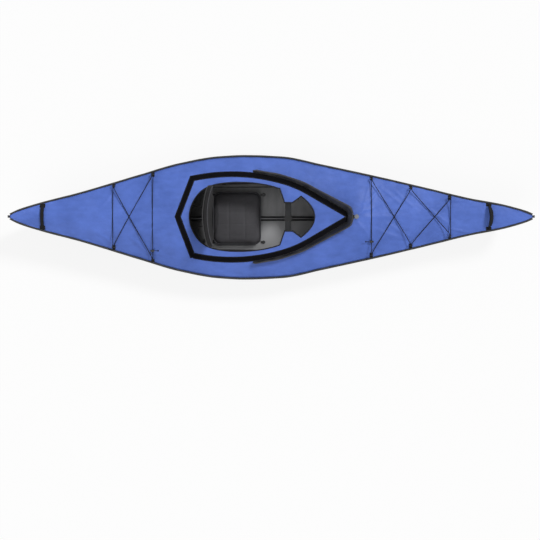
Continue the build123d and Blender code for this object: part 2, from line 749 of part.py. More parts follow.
def valve_plane(side):
    """Plane on the inboard shoulder of an air tube, its Z axis pointing out of the tube."""
    y, z, radius = air_tube_section(VALVE_X)
    out = Vector(0, -side * cos(radians(VALVE_ANGLE)), sin(radians(VALVE_ANGLE)))
    return Plane(Vector(VALVE_X, side * y, z) + out * radius, x_dir=(1, 0, 0), z_dir=out)


def make_valve_base(side):
    """Welded flange and open neck of an inflation valve."""
    stack = Pos(0, 0, -2.0) * Cylinder(VALVE_BASE_RADIUS, 9.0)
    stack = chamfer(stack.edges().filter_by(GeomType.CIRCLE).sort_by(Axis.Z)[-1], 1.5)
    neck = Cylinder(VALVE_NECK_RADIUS, VALVE_NECK_HEIGHT, align=(Align.CENTER, Align.CENTER, Align.MIN))
    stack += neck
    stack -= Pos(0, 0, 3.0) * Cylinder(VALVE_NECK_RADIUS - 4, VALVE_NECK_HEIGHT, align=(Align.CENTER, Align.CENTER, Align.MIN))
    return (valve_plane(side) * stack - make_air_tube(side, SEAM_GAP)).solid()


def make_valve_cap(side):
    """Quarter-turn cap with finger scallops round its rim."""
    clear = FIT_GAP
    low = 2.5 + SEAM_GAP
    cap = Pos(0, 0, low) * Cylinder(VALVE_CAP_RADIUS, VALVE_CAP_HEIGHT, align=(Align.CENTER, Align.CENTER, Align.MIN))
    cap = chamfer(cap.edges().sort_by(Axis.Z)[-1], 2.0)
    hole = Cylinder(VALVE_NECK_RADIUS + clear, VALVE_NECK_HEIGHT + SEAM_GAP, align=(Align.CENTER, Align.CENTER, Align.MIN))
    for i in range(8):
        cap -= Rot(0, 0, 45 * i) * Pos(VALVE_CAP_RADIUS + 2.2, 0, 0) * Cylinder(3.8, 80)
    return (valve_plane(side) * (cap - hole)).solid()


def cushion_outline(inset):
    """Plan of the seat cushion, whose sides pull in between its round corners."""
    low, high = SEAT_REAR + inset, SEAT_FRONT - inset
    wide = SEAT_HALF_WIDTH - inset
    mid = (low + high) / 2
    corner = SEAT_CORNER
    pull = SEAT_PULL_IN
    edges = [
        Edge.make_three_point_arc(Vector(low, -wide + corner), Vector(low + pull, 0), Vector(low, wide - corner)),
        Edge.make_three_point_arc(Vector(low, wide - corner), Vector(low + corner * 0.29, wide - corner * 0.29), Vector(low + corner, wide)),
        Edge.make_three_point_arc(Vector(low + corner, wide), Vector(mid, wide - pull), Vector(high - corner, wide)),
        Edge.make_three_point_arc(Vector(high - corner, wide), Vector(high - corner * 0.29, wide - corner * 0.29), Vector(high, wide - corner)),
        Edge.make_three_point_arc(Vector(high, wide - corner), Vector(high - pull, 0), Vector(high, -wide + corner)),
        Edge.make_three_point_arc(Vector(high, -wide + corner), Vector(high - corner * 0.29, -wide + corner * 0.29), Vector(high - corner, -wide)),
        Edge.make_three_point_arc(Vector(high - corner, -wide), Vector(mid, -wide + pull), Vector(low + corner, -wide)),
        Edge.make_three_point_arc(Vector(low + corner, -wide), Vector(low + corner * 0.29, -wide + corner * 0.29), Vector(low, -wide + corner)),
    ]
    return Wire(edges)


def make_cushion():
    """Seat cushion with a drawn-in waist, rolled edges, a crown and two sewn channels."""
    base = SEAT_PAN_Z + SEAT_PAN_THICKNESS + SEAM_GAP
    levels = [(0.0, 8.0), (0.35, 0.0), (0.75, 3.0), (1.0, CUSHION_EDGE)]
    wires = [cushion_outline(inset).moved(Pos(0, 0, base + share * CUSHION_HEIGHT)) for share, inset in levels]
    body = Solid.make_loft(wires)
    mid_x = (SEAT_REAR + SEAT_FRONT) / 2
    half = (SEAT_FRONT - SEAT_REAR) / 2 - CUSHION_EDGE
    dome_radius = (half**2 + CUSHION_CROWN**2) / (2 * CUSHION_CROWN)
    top = base + CUSHION_HEIGHT
    dome = Pos(mid_x, 0, top + CUSHION_CROWN - dome_radius) * Sphere(dome_radius)
    dome &= Pos(mid_x, 0, top + 20 - 2) * Box(2 * half, 2 * half, 40)
    body = body + dome
    for x in (mid_x - half / 3, mid_x + half / 3):
        body -= Pos(x, 0, top + CUSHION_CROWN + CHANNEL_RADIUS * 0.2) * Rot(90, 0, 0) * Cylinder(CHANNEL_RADIUS, 3 * half)
    return body.solid()


def hinge_eye_wall(thickness, low, high):
    """Upright plate with a round end about the backrest's axis."""
    plate = Pos(BACK_AXIS_X, 0, (low + high) / 2) * Box(2 * HINGE_EYE, thickness, high - low)
    return plate + Pos(BACK_AXIS_X, 0, BACK_AXIS_Z) * Rot(90, 0, 0) * Cylinder(HINGE_EYE, thickness)


def make_seat_pan():
    """Board under the cushion, with a pair of lugs behind it for each backrest hinge."""
    length = SEAT_PAN_FRONT - SEAT_PAN_REAR
    pan = Pos((SEAT_PAN_FRONT + SEAT_PAN_REAR) / 2, 0, SEAT_PAN_Z + SEAT_PAN_THICKNESS / 2) * Box(
        length, 2 * SEAT_PAN_HALF_WIDTH, SEAT_PAN_THICKNESS
    )
    pan = fillet(pan.edges().filter_by(Axis.Z), 30)
    beside = HINGE_TAB / 2 + HINGE_PLAY + HINGE_LUG / 2
    for side in (-1, 1):
        for shift in (-beside, beside):
            pan += Pos(0, side * HINGE_Y + shift, 0) * hinge_eye_wall(HINGE_LUG, SEAT_PAN_Z + 1, BACK_AXIS_Z)
    return (pan - hinge_bore(FIT_GAP / 2)).solid()


def hinge_bore(clearance):
    """Line of the backrest's hinge pins, for its bores."""
    return Pos(BACK_AXIS_X, 0, BACK_AXIS_Z) * Rot(90, 0, 0) * Cylinder(HINGE_PIN_RADIUS + clearance, 4 * HINGE_Y)


def make_hinge_pins():
    """Headed pin through each backrest hinge."""
    half = HINGE_TAB / 2 + HINGE_PLAY + HINGE_LUG + 3
    pins = []
    for side in (-1, 1):
        pin = Rot(90, 0, 0) * Cylinder(HINGE_PIN_RADIUS, 2 * half)
        head = Pos(0, side * half, 0) * Rot(90, 0, 0) * Cylinder(HINGE_PIN_RADIUS + 3, 3)
        pins.append((Pos(BACK_AXIS_X, side * HINGE_Y, BACK_AXIS_Z) * (pin + head)).solid())
    return Compound(pins)


def back_outline(inset):
    """Front outline of the backrest, narrow at deck level and flared above it."""
    points = [
        (BACK_HALF_BOTTOM, BACK_BOTTOM_Z), (BACK_HALF_DECK, BACK_FLARE_Z), (BACK_HALF_TOP, BACK_WIDE_Z),
        (BACK_HALF_TOP, BACK_TOP_Z), (-BACK_HALF_TOP, BACK_TOP_Z), (-BACK_HALF_TOP, BACK_WIDE_Z),
        (-BACK_HALF_DECK, BACK_FLARE_Z), (-BACK_HALF_BOTTOM, BACK_BOTTOM_Z),
    ]
    outline = make_face(Polyline(*points, close=True))
    bottoms = outline.vertices().group_by(Axis.Y)[0]
    outline = fillet(bottoms, 24)
    tops = outline.vertices().group_by(Axis.Y)[-1]
    outline = fillet(tops, BACK_CORNER)
    return offset(outline, -inset) if inset else outline


def back_sheet(outer, thickness, inset=0.0):
    """Upright curved sheet of the backrest, about its centre of curvature."""
    ring = Circle(outer) - Circle(outer - thickness)
    sheet = upright(ring, BACK_BOTTOM_Z - 5, BACK_TOP_Z + 5)
    plan = extrude(Plane(Vector(0, 0, 0), x_dir=(0, -1, 0), z_dir=(-1, 0, 0)) * back_outline(inset), BEAM)
    return Pos(BACK_CENTRE_X, 0, 0) * sheet & plan


def leaned(shape):
    """The backrest stands leaned back about its hinge."""
    return Pos(BACK_AXIS_X, 0, BACK_AXIS_Z) * Rot(0, -BACK_LEAN, 0) * Pos(-BACK_AXIS_X, 0, -BACK_AXIS_Z) * shape


def make_back_board():
    """Curved board behind the pad and inside its edges, with two tabs down to the hinge axis."""
    board = back_sheet(BACK_PLAN_RADIUS, BACK_BOARD, BACK_BOARD_INSET)
    for side in (-1, 1):
        tab = Pos(0, side * HINGE_Y, 0) * hinge_eye_wall(HINGE_TAB, BACK_AXIS_Z, BACK_BOTTOM_Z + 40)
        keep = upright(Circle(BACK_PLAN_RADIUS) - Circle(BACK_PLAN_RADIUS - BACK_BOARD), 0, BACK_BOTTOM_Z + 60)
        stub = tab & Pos(BACK_AXIS_X, 0, BACK_AXIS_Z) * Box(100, 400, 2 * (BACK_BOTTOM_Z - BACK_AXIS_Z - 1))
        board += stub + (tab & Pos(BACK_CENTRE_X, 0, 0) * keep)
    return leaned((board - hinge_bore(FIT_GAP / 2)).solid())


def make_back_pad():
    """Padded front of the backrest, rolled at its edges."""
    pad = back_sheet(BACK_PLAN_RADIUS - BACK_BOARD - SEAM_GAP, BACK_PAD)
    front = pad.faces().sort_by(SortBy.AREA)[-2:].sort_by(Axis.X)[-1]
    pad = fillet(front.edges(), BACK_EDGE)
    return leaned(pad.solid())


def make_seat_clips():
    """Round clips on short straps that hold the cushion's front corners to the floor."""
    floor = FLOOR_TOP_Z + SEAM_GAP
    clips = []
    for side in (-1, 1):
        disc = Cylinder(SEAT_CLIP_RADIUS, SEAT_CLIP_HEIGHT, align=(Align.CENTER, Align.CENTER, Align.MIN))
        disc = chamfer(disc.edges().sort_by(Axis.Z)[-1], 2.5)
        disc -= Pos(0, 0, 6) * Cylinder(4.5, 10, align=(Align.CENTER, Align.CENTER, Align.MIN))
        reach = SEAT_CLIP_X - SEAT_PAN_FRONT - SEAM_GAP
        strap = Pos(-reach / 2, 0, 2.5) * Box(reach, 16, 2.5)
        clips.append((Pos(SEAT_CLIP_X, side * SEAT_CLIP_Y, floor) * (disc + strap)).solid())
    return Compound(clips)


def make_footrest_clamp():
    """Slider on the keel tube with a post up to the bar."""
    low, high = CLIP_BOTTOM_Z, 48.0
    block = Pos(FOOTREST_X, 0, (low + high) / 2) * Box(CLAMP_LENGTH, CLAMP_WIDTH, high - low)
    block = fillet(block.edges().filter_by(Axis.Z), 5)
    post = Pos(FOOTREST_X, 0, (high + FOOTREST_Z) / 2) * Box(14, 24, FOOTREST_Z - high)
    boss = Pos(FOOTREST_X, 0, FOOTREST_Z) * Rot(90, 0, 0) * Cylinder(FOOTREST_BAR_RADIUS + 6, 34)
    bar = Pos(FOOTREST_X, 0, FOOTREST_Z) * Rot(90, 0, 0) * Cylinder(FOOTREST_BAR_RADIUS + FIT_GAP, 60)
    tube = Pos(FOOTREST_X, 0, KEEL_TUBE_Z) * Rot(0, 90, 0) * Cylinder(KEEL_TUBE_RADIUS + FIT_GAP, 200)
    return (block + post + boss - bar - tube).solid()


def make_footrest_bar():
    return Pos(FOOTREST_X, 0, FOOTREST_Z) * Rot(90, 0, 0) * (
        Cylinder(FOOTREST_BAR_RADIUS, 2 * FOOTREST_HALF_WIDTH)
        - Cylinder(FOOTREST_BAR_RADIUS - 1.5, 2 * FOOTREST_HALF_WIDTH)
    )


def make_footrest_grips():
    """Foam sleeves on both halves of the bar."""
    length = FOOTREST_HALF_WIDTH - 17 - 8
    grip = Cylinder(FOOTREST_GRIP_RADIUS, length)
    grip = chamfer(grip.edges().filter_by(GeomType.CIRCLE), 3) - Cylinder(FOOTREST_BAR_RADIUS + FIT_GAP, length)
    middle = 17 + 4 + length / 2
    return Compound([
        (Pos(FOOTREST_X, side * middle, FOOTREST_Z) * Rot(90, 0, 0) * grip).solid() for side in (-1, 1)
    ])


def ring_place(x, side):
    """Centre of a deck ring, which stands on its tab inside the gunwale."""
    y = outer_half(x) - RING_INSET
    lift = SEAM_GAP + 2 * TAB_THICKNESS + TAB_FOLD + RING_RADIUS
    return Vector(x, side * y, deck_z(x, y) + lift)


def round_ring(radius, wire):
    """Ring of thick wire, standing in the XZ plane."""
    section = Pos(radius, 0) * RegularPolygon(wire, RING_SIDES)
    return revolve(section, Axis.Y)


def make_rings(xs):
    ring = round_ring(RING_RADIUS, RING_WIRE)
    return Compound([
        (Pos(*ring_place(x, side)) * ring).solid() for x in xs for side in (-1, 1)
    ])


def deck_patch(layer, x, y, length, width):
    """Rectangle of webbing that lies on the deck, from a layer that follows it."""
    return layer & Pos(x, y, 300) * Box(length, width, 400)


def make_ring_tabs(xs, layer, below):
    """Webbing tabs sewn to the deck, each folded round the bottom of its ring."""
    fold_z = TAB_FOLD_RISE - RING_RADIUS
    stem_depth = 16.0
    fold = Pos(0, 0, fold_z) * Rot(0, 90, 0) * Cylinder(TAB_FOLD + TAB_THICKNESS, TAB_FOLD_WIDTH)
    stem = Pos(0, 0, fold_z - stem_depth / 2) * Box(TAB_FOLD_WIDTH, 2 * TAB_THICKNESS + 2, stem_depth)
    upper = fold + stem - Pos(0, 0, fold_z) * Rot(0, 90, 0) * Cylinder(TAB_FOLD, 2 * TAB_FOLD_WIDTH)
    tabs = []
    for x in xs:
        for side in (-1, 1):
            place = ring_place(x, side)
            patch = deck_patch(layer, x, place.Y, TAB_WIDTH, TAB_LENGTH)
            tabs.append((Pos(*place) * upper - below + patch).solid())
    return Compound(tabs)


def ring_legs(stop):
    """Route round a ring's upper wire: in through the ring, out over it."""
    x, side, x_in, x_out = stop
    centre = ring_place(x, side)
    gap = RING_WIRE + CORD_RADIUS + 0.5
    low, high = centre.Z + RING_RADIUS - gap, centre.Z + RING_RADIUS + gap
    inboard, outboard = centre.Y - side * RING_LEG, centre.Y + side * gap
    return [
        Vector(x + x_in, inboard, low), Vector(x + x_in, outboard, low),
        Vector(x + x_out, outboard, high), Vector(x + x_out, inboard, high),
    ]


def over_deck(start, end, lift):
    """Points of a stretch across the deck; the lift is what it clears at its middle."""
    points = []
    for share in (0.24, 0.5, 0.76):
        x = start.X + (end.X - start.X) * share
        y = start.Y + (end.Y - start.Y) * share
        rise = lift if share == 0.5 else CORD_SHOULDER
        points.append(Vector(x, y, deck_z(x, y) + CORD_LIFT + rise))
    return points


def lacing_route(stops, crossing):
    """Corners and radii of an elastic cord laced through the rings in turn, from lock to lock."""
    legs = [ring_legs(stop) for stop in stops]
    tight = RING_WIRE + CORD_RADIUS + 0.3
    corners, bends = [], []
    for i, ring in enumerate(legs):
        if i:
            stretch = over_deck(legs[i - 1][-1], ring[0], CROSSING_LIFT if i in crossing else 0.0)
            corners += stretch
            bends += [LACING_BEND] * len(stretch)
        corners += ring
        bends += [LACING_BEND, tight, tight, LACING_BEND]
    return corners, bends


def rounded_route(corners, bends):
    """Smooth path through a route whose first and last corners are its ends."""
    radii = []
    for before, corner, after, largest in zip(corners, corners[1:], corners[2:], bends[1:]):
        inward, outward = corner - before, after - corner
        half_turn = radians(inward.get_angle(outward)) / 2
        room = 0.45 * min(inward.length, outward.length) / tan(half_turn)
        radii.append(min(room, largest))
    return FilletPolyline(*corners, radius=radii)


def lacing(stops, crossing, distance):
    """Path of a lacing cord and the place of its lock on the first stretch."""
    corners, bends = lacing_route(stops, crossing)
    stretch = over_deck(corners[-1], corners[0], 0.0)
    way = (stretch[0] - corners[-1]).normalized()
    lock = corners[-1] + way * distance
    route = [lock + way * LOCK_GRIP] + stretch + corners + [lock - way * LOCK_GRIP]
    sizes = [LACING_BEND] * (1 + len(stretch)) + bends + [LACING_BEND]
    return rounded_route(route, sizes), lock, way


def round_cord(path, radius=CORD_RADIUS):
    """Round cord along a path."""
    start = path @ 0
    section = Plane(start, z_dir=path % 0) * RegularPolygon(radius, CORD_SIDES)
    return sweep(section, path=path).solid()


BOW_STOPS = [
    (BOW_RING_XS[0], 1, -LEG_SHIFT, LEG_SHIFT), (BOW_RING_XS[1], -1, -LEG_SHIFT, LEG_SHIFT),
    (BOW_RING_XS[2], 1, -LEG_SHIFT, LEG_SHIFT), (BOW_RING_XS[2], -1, LEG_SHIFT, -LEG_SHIFT),
    (BOW_RING_XS[1], 1, LEG_SHIFT, -LEG_SHIFT), (BOW_RING_XS[0], -1, LEG_SHIFT, -LEG_SHIFT),
]
STERN_STOPS = [
    (STERN_RING_XS[0], 1, LEG_SHIFT, -LEG_SHIFT), (STERN_RING_XS[1], -1, LEG_SHIFT, -LEG_SHIFT),
    (STERN_RING_XS[1], 1, -LEG_SHIFT, LEG_SHIFT), (STERN_RING_XS[0], -1, -LEG_SHIFT, LEG_SHIFT),
]


def lock_plane(place, way, facing):
    """Plane of a cord lock: X along the cord, Z out of its button."""
    return Plane(place, x_dir=way, z_dir=Vector(facing, 0, 0))


def cord_slot(reach):
    """Round-ended slot across a cord lock, long enough for the button's travel."""
    hole = CORD_RADIUS + CORD_PLAY
    slot = Rot(0, 90, 0) * Cylinder(hole, 4 * LOCK_RADIUS)
    if reach:
        slot += Pos(0, 0, reach) * Rot(0, 90, 0) * Cylinder(hole, 4 * LOCK_RADIUS)
        slot += Pos(0, 0, reach / 2) * Box(4 * LOCK_RADIUS, 2 * hole, reach)
    return slot


def make_lock_body(plane):
    length = LOCK_BASE + LOCK_MOUTH
    body = Pos(0, 0, (LOCK_MOUTH - LOCK_BASE) / 2) * Cylinder(LOCK_RADIUS, length)
    body = chamfer(body.edges().filter_by(GeomType.CIRCLE), 1.2)
    cavity = Pos(0, 0, LOCK_FLOOR + (LOCK_MOUTH - LOCK_BASE) / 2) * Cylinder(LOCK_CAVITY, length)
    return (plane * (body - cavity - cord_slot(0.0))).solid()


def make_lock_button(plane):
    """Sprung plunger whose slot pinches the cord until it is pressed."""
    button = Pos(0, 0, (BUTTON_HEAD - BUTTON_FOOT) / 2) * Cylinder(BUTTON_RADIUS, BUTTON_HEAD + BUTTON_FOOT)
    button = chamfer(button.edges().filter_by(GeomType.CIRCLE).sort_by(Axis.Z)[-1], 1.2)
    return (plane * (button - cord_slot(BUTTON_TRAVEL))).solid()


def make_lock_spring(plane):
    """Spring of the button, as the sleeve that its coils fill."""
    low = -LOCK_BASE + LOCK_FLOOR + 0.1
    high = -BUTTON_FOOT - 0.1
    sleeve = Cylinder(LOCK_CAVITY - 0.6, high - low) - Cylinder(LOCK_CAVITY - 1.8, high - low)
    return (plane * Pos(0, 0, (low + high) / 2) * sleeve).solid()


def round_knot():
    """Overhand knot pulled tight, as a short barrel."""
    profile = Polyline(
        (0, -KNOT_RADIUS), (0.6 * KNOT_RADIUS, -KNOT_RADIUS), (KNOT_RADIUS, -0.4 * KNOT_RADIUS),
        (KNOT_RADIUS, 0.4 * KNOT_RADIUS), (0.6 * KNOT_RADIUS, KNOT_RADIUS), (0, KNOT_RADIUS), close=True,
    )
    return revolve(Plane.XZ * make_face(profile), Axis.Z)


def make_cord_tail(plane):
    """Free end of the cord, which leaves the lock's closed end and ends in a knot."""
    out = plane.z_dir * -1
    points = [plane.origin + out * (LOCK_BASE + 0.2)]
    for along, up in TAIL_RUNS:
        points.append(points[-1] + out * along + Vector(0, 0, up))
    path = bent_path(points, 20.0)
    knot = Pos(*points[-1]) * round_knot()
    return (round_cord(path) + knot).solid()


def handle_foot(x):
    """Height and half span of a carry handle's ends on the deck."""
    y = outer_half(x) - HANDLE_FOOT_INSET
    return y, deck_z(x, y) + SEAM_GAP + TAB_THICKNESS


def arch_half(half_span, foot_z, crest_z, z):
    """Half width of a handle's arch at the height z."""
    rise = crest_z - foot_z
    radius = (half_span**2 + rise**2) / (2 * rise)
    return sqrt(radius**2 - (z - crest_z + radius) ** 2)


def handle_arch(x, half_span, foot_z, crest_z, width):
    """Webbing bent in an arch across the deck."""
    outer = ThreePointArc((-half_span, foot_z), (0, crest_z), (half_span, foot_z))
    inner = ThreePointArc(
        (half_span - HANDLE_THICKNESS, foot_z), (0, crest_z - HANDLE_THICKNESS), (HANDLE_THICKNESS - half_span, foot_z)
    )
    ends = [Line(outer @ 1, inner @ 0), Line(inner @ 1, outer @ 0)]
    face = make_face([*outer.edges(), *ends[0].edges(), *inner.edges(), *ends[1].edges()])
    plane = Plane(Vector(x - width / 2, 0, 0), x_dir=(0, 1, 0), z_dir=(1, 0, 0))
    return extrude(plane * face, width, dir=(1, 0, 0))


def make_bow_handle():
    """Rolled webbing grip that swings on its two sewn feet."""
    y, foot = handle_foot(BOW_HANDLE_X)
    axis_z = foot + HANDLE_EYE + HANDLE_EYE_GAP
    arch = handle_arch(BOW_HANDLE_X, y, foot, axis_z + BOW_HANDLE_RISE, HANDLE_ROLL)
    half = HANDLE_ROLL / 2
    side = Polyline(
        (-HANDLE_EYE, 0), (-half, 20), (-half, 100), (half, 100), (half, 20), (HANDLE_EYE, 0), close=True
    )
    shape = make_face(side) + Circle(HANDLE_EYE)
    plane = Plane(Vector(BOW_HANDLE_X, 100, axis_z), x_dir=(1, 0, 0), z_dir=(0, -1, 0))
    keep = extrude(plane * shape, 200, dir=(0, -1, 0))
    lean = Pos(BOW_HANDLE_X, 0, axis_z) * Rot(0, HANDLE_LEAN, 0) * Pos(-BOW_HANDLE_X, 0, -axis_z)
    return lean * (arch & keep)


def make_stern_handle(layer, below):
    """Flat webbing bridge over the after deck, with its flared feet sewn down."""
    y, foot = handle_foot(STERN_HANDLE_X)
    crest = deck_z(STERN_HANDLE_X, 0) + STERN_HANDLE_RISE + HANDLE_THICKNESS
    arch = handle_arch(STERN_HANDLE_X, y, foot - TAB_THICKNESS / 2, crest, HANDLE_ROLL)
    arch -= below
    for side in (-1, 1):
        arch += deck_patch(layer, STERN_HANDLE_X, side * (y - 4), HANDLE_WEBBING, 30)
    return arch.solid()


def make_bow_handle_feet(layer):
    """Webbing feet of the bow handle, each with an ear beside the handle's end."""
    y, foot = handle_foot(BOW_HANDLE_X)
    axis_z = foot + HANDLE_EYE + HANDLE_EYE_GAP
    eye_half = arch_half(y, foot, axis_z + BOW_HANDLE_RISE, foot + HANDLE_EYE_GAP)
    feet = []
    for side in (-1, 1):
        patch = deck_patch(layer, BOW_HANDLE_X, side * (y + 2), HANDLE_WEBBING, 28)
        middle = side * (eye_half + SEAM_GAP + HANDLE_EAR / 2)
        ear = Pos(BOW_HANDLE_X, middle, (foot - 1 + axis_z) / 2) * Box(2 * HANDLE_EYE, HANDLE_EAR, axis_z - foot + 1)
        ear += Pos(BOW_HANDLE_X, middle, axis_z) * Rot(90, 0, 0) * Cylinder(HANDLE_EYE, HANDLE_EAR)
        feet.append((patch + ear).solid())
    return Compound(feet)


def back_cord_ends(side):
    """Ends of a backrest cord: behind the board, and at its anchor ring on the seat rib."""
    x = BACK_CENTRE_X - sqrt(BACK_PLAN_RADIUS**2 - BACK_CORD_Y**2)
    lean = radians(BACK_LEAN)
    rise = BACK_CORD_Z - BACK_AXIS_Z
    at_back = Vector(x - rise * sin(lean) - 1.0, side * BACK_CORD_Y, BACK_CORD_Z)
    strap_x = SEAT_RIB_X + RIB_WIDTH / 2 + SEAM_GAP + ANCHOR_STRAP / 2
    ring_z = arch_top(SEAT_RIB_X, rib_side(SEAT_RIB_X), ANCHOR_Y) - RIB_THICKNESS - ANCHOR_DROP
    return at_back, Vector(strap_x, side * ANCHOR_Y, ring_z)


def make_back_cords():
    """Cords that hold the backrest upright."""
    cords = []
    for side in (-1, 1):
        at_back, at_ring = back_cord_ends(side)
        way = (at_back - at_ring).normalized()
        start = at_ring + way * (ANCHOR_WIRE + SEAM_GAP + 1.0)
        middle = (start + at_back) * 0.5
        plane = Plane(middle, z_dir=way)
        cords.append((plane * Cylinder(BACK_CORD_RADIUS, (at_back - start).length)).solid())
    return Compound(cords)


def make_back_anchors():
    """Rings on short straps down the front of the seat rib, one for each backrest cord."""
    anchors = []
    for side in (-1, 1):
        _, at_ring = back_cord_ends(side)
        ring = Pos(*at_ring) * Rot(0, 0, 90) * round_ring(ANCHOR_RING, ANCHOR_WIRE)
        low = ANCHOR_RING - ANCHOR_WIRE / 2
        length = RIB_THICKNESS + ANCHOR_DROP - low
        strap = Pos(at_ring.X, at_ring.Y, at_ring.Z + low + length / 2)
        anchors.append((ring + strap * Box(ANCHOR_STRAP, ANCHOR_STRAP_WIDTH, length)).solid())
    return Compound(anchors)


def main():
    layer = deck_layer(SEAM_GAP, SEAM_GAP + TAB_THICKNESS)
    below = deck_layer(-60.0, SEAM_GAP)
    bow_lacing, bow_lock, bow_way = lacing(BOW_STOPS, (4, 5), BOW_LOCK_DISTANCE)
    stern_lacing, stern_lock, stern_way = lacing(STERN_STOPS, (3,), STERN_LOCK_DISTANCE)
    bow_plane = lock_plane(bow_lock, bow_way, 1)
    stern_plane = lock_plane(stern_lock, stern_way, -1)
    nodes = {
        "hull_skin": make_hull_skin(),
        "deck_skin": make_deck_skin(),
        "cockpit_hem": make_cockpit_hem(),
        "skirt_band": make_skirt_band(),
        "spray_deflector": make_spray_deflector(),
        "gunwale_piping": make_piping(),
        "bow_stem_band": make_stem_band(1),
        "stern_stem_band": make_stem_band(-1),
        "keel_strip": make_keel_strip(),
        "keel_tube_aft": make_keel_tube(-KEEL_REACH, -KEEL_JOINT_X - SEAM_GAP),
        "keel_tube_mid": make_keel_tube(-KEEL_JOINT_X, KEEL_JOINT_X),
        "keel_tube_fore": make_keel_tube(KEEL_JOINT_X + SEAM_GAP, KEEL_REACH),
        "keel_ferrules": make_ferrules(),
        "bow_frame": make_end_frame(1),
        "stern_frame": make_end_frame(-1),
        "aft_end_rib": make_rib(AFT_END_RIB_X, END_RIB_FOOT, rib_side(AFT_END_RIB_X)),
        "seat_rib": make_rib(SEAT_RIB_X, 150.0, rib_side(SEAT_RIB_X)),
        "thigh_rib": make_rib(THIGH_RIB_X, 190.0, rib_side(THIGH_RIB_X), FLAP_GAP + 3),
        "foredeck_rib": make_rib(FOREDECK_RIB_X, 120.0, rib_side(FOREDECK_RIB_X)),
        "fore_end_rib": make_rib(FORE_END_RIB_X, END_RIB_FOOT, rib_side(FORE_END_RIB_X)),
        "rib_clips": Compound([
            make_end_clip(AFT_END_RIB_X), make_keel_clip(SEAT_RIB_X), make_keel_clip(THIGH_RIB_X),
            make_keel_clip(FOREDECK_RIB_X), make_end_clip(FORE_END_RIB_X),
        ]),
        "air_tube_left": make_air_tube(1),
        "air_tube_right": make_air_tube(-1),
        "valve_base_left": make_valve_base(1),
        "valve_base_right": make_valve_base(-1),
        "valve_cap_left": make_valve_cap(1),
        "valve_cap_right": make_valve_cap(-1),
        "floor_panel_left": make_floor_panel(1),
        "floor_panel_right": make_floor_panel(-1),
        "seat_pan": make_seat_pan(),
        "seat_cushion": make_cushion(),
        "seat_clips": make_seat_clips(),
        "backrest_board": make_back_board(),
        "backrest_pad": make_back_pad(),
        "backrest_hinge_pins": make_hinge_pins(),
        "footrest_clamp": make_footrest_clamp(),
        "footrest_bar": make_footrest_bar(),
        "footrest_grips": make_footrest_grips(),
        "bow_rings": make_rings(BOW_RING_XS),
        "stern_rings": make_rings(STERN_RING_XS),
        "bow_ring_tabs": make_ring_tabs(BOW_RING_XS, layer, below),
        "stern_ring_tabs": make_ring_tabs(STERN_RING_XS, layer, below),
        "bow_bungee": round_cord(bow_lacing),
        "stern_bungee": round_cord(stern_lacing),
        "bow_lock_body": make_lock_body(bow_plane),
        "bow_lock_button": make_lock_button(bow_plane),
        "bow_lock_spring": make_lock_spring(bow_plane),
        "bow_cord_tail": make_cord_tail(bow_plane),
        "stern_lock_body": make_lock_body(stern_plane),
        "stern_lock_button": make_lock_button(stern_plane),
        "stern_lock_spring": make_lock_spring(stern_plane),
        "stern_cord_tail": make_cord_tail(stern_plane),
        "bow_handle": make_bow_handle(),
        "bow_handle_feet": make_bow_handle_feet(layer),
        "stern_handle": make_stern_handle(layer, below),
        "backrest_cords": make_back_cords(),
        "backrest_anchors": make_back_anchors(),
    }
    for name, shape in nodes.items():
        export_step(shape, f"parts/{name}.step")


os.makedirs("parts", exist_ok=True)
main()
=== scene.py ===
"""Folding kayak: cloth, padding, trim, cords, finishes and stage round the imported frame."""

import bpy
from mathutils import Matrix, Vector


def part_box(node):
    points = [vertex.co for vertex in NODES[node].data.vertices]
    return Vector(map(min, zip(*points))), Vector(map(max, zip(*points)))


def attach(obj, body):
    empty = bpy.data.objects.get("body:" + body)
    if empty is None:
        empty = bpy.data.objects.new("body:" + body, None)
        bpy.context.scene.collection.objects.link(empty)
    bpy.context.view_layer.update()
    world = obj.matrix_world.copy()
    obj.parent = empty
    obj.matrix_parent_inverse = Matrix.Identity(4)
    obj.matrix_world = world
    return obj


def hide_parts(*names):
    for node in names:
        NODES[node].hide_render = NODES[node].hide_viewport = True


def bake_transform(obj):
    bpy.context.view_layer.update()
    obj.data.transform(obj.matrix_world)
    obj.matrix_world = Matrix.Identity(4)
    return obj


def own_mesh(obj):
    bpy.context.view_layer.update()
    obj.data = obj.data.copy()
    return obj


bl_info = {
    "name": "Folding Kayak",
    "version": (1, 0, 0),
    "blender": (4, 5, 0),
    "location": "3D View > Sidebar > Kayak",
    "description": "Makes the skins, seat, trim and finishes of a folding kayak",
    "category": "Add Mesh",
}

from bisect import bisect_right
from math import asin, atan2, cos, exp, hypot, pi, radians, sin, sqrt, tan

import bmesh
import bpy
from mathutils import Vector, noise

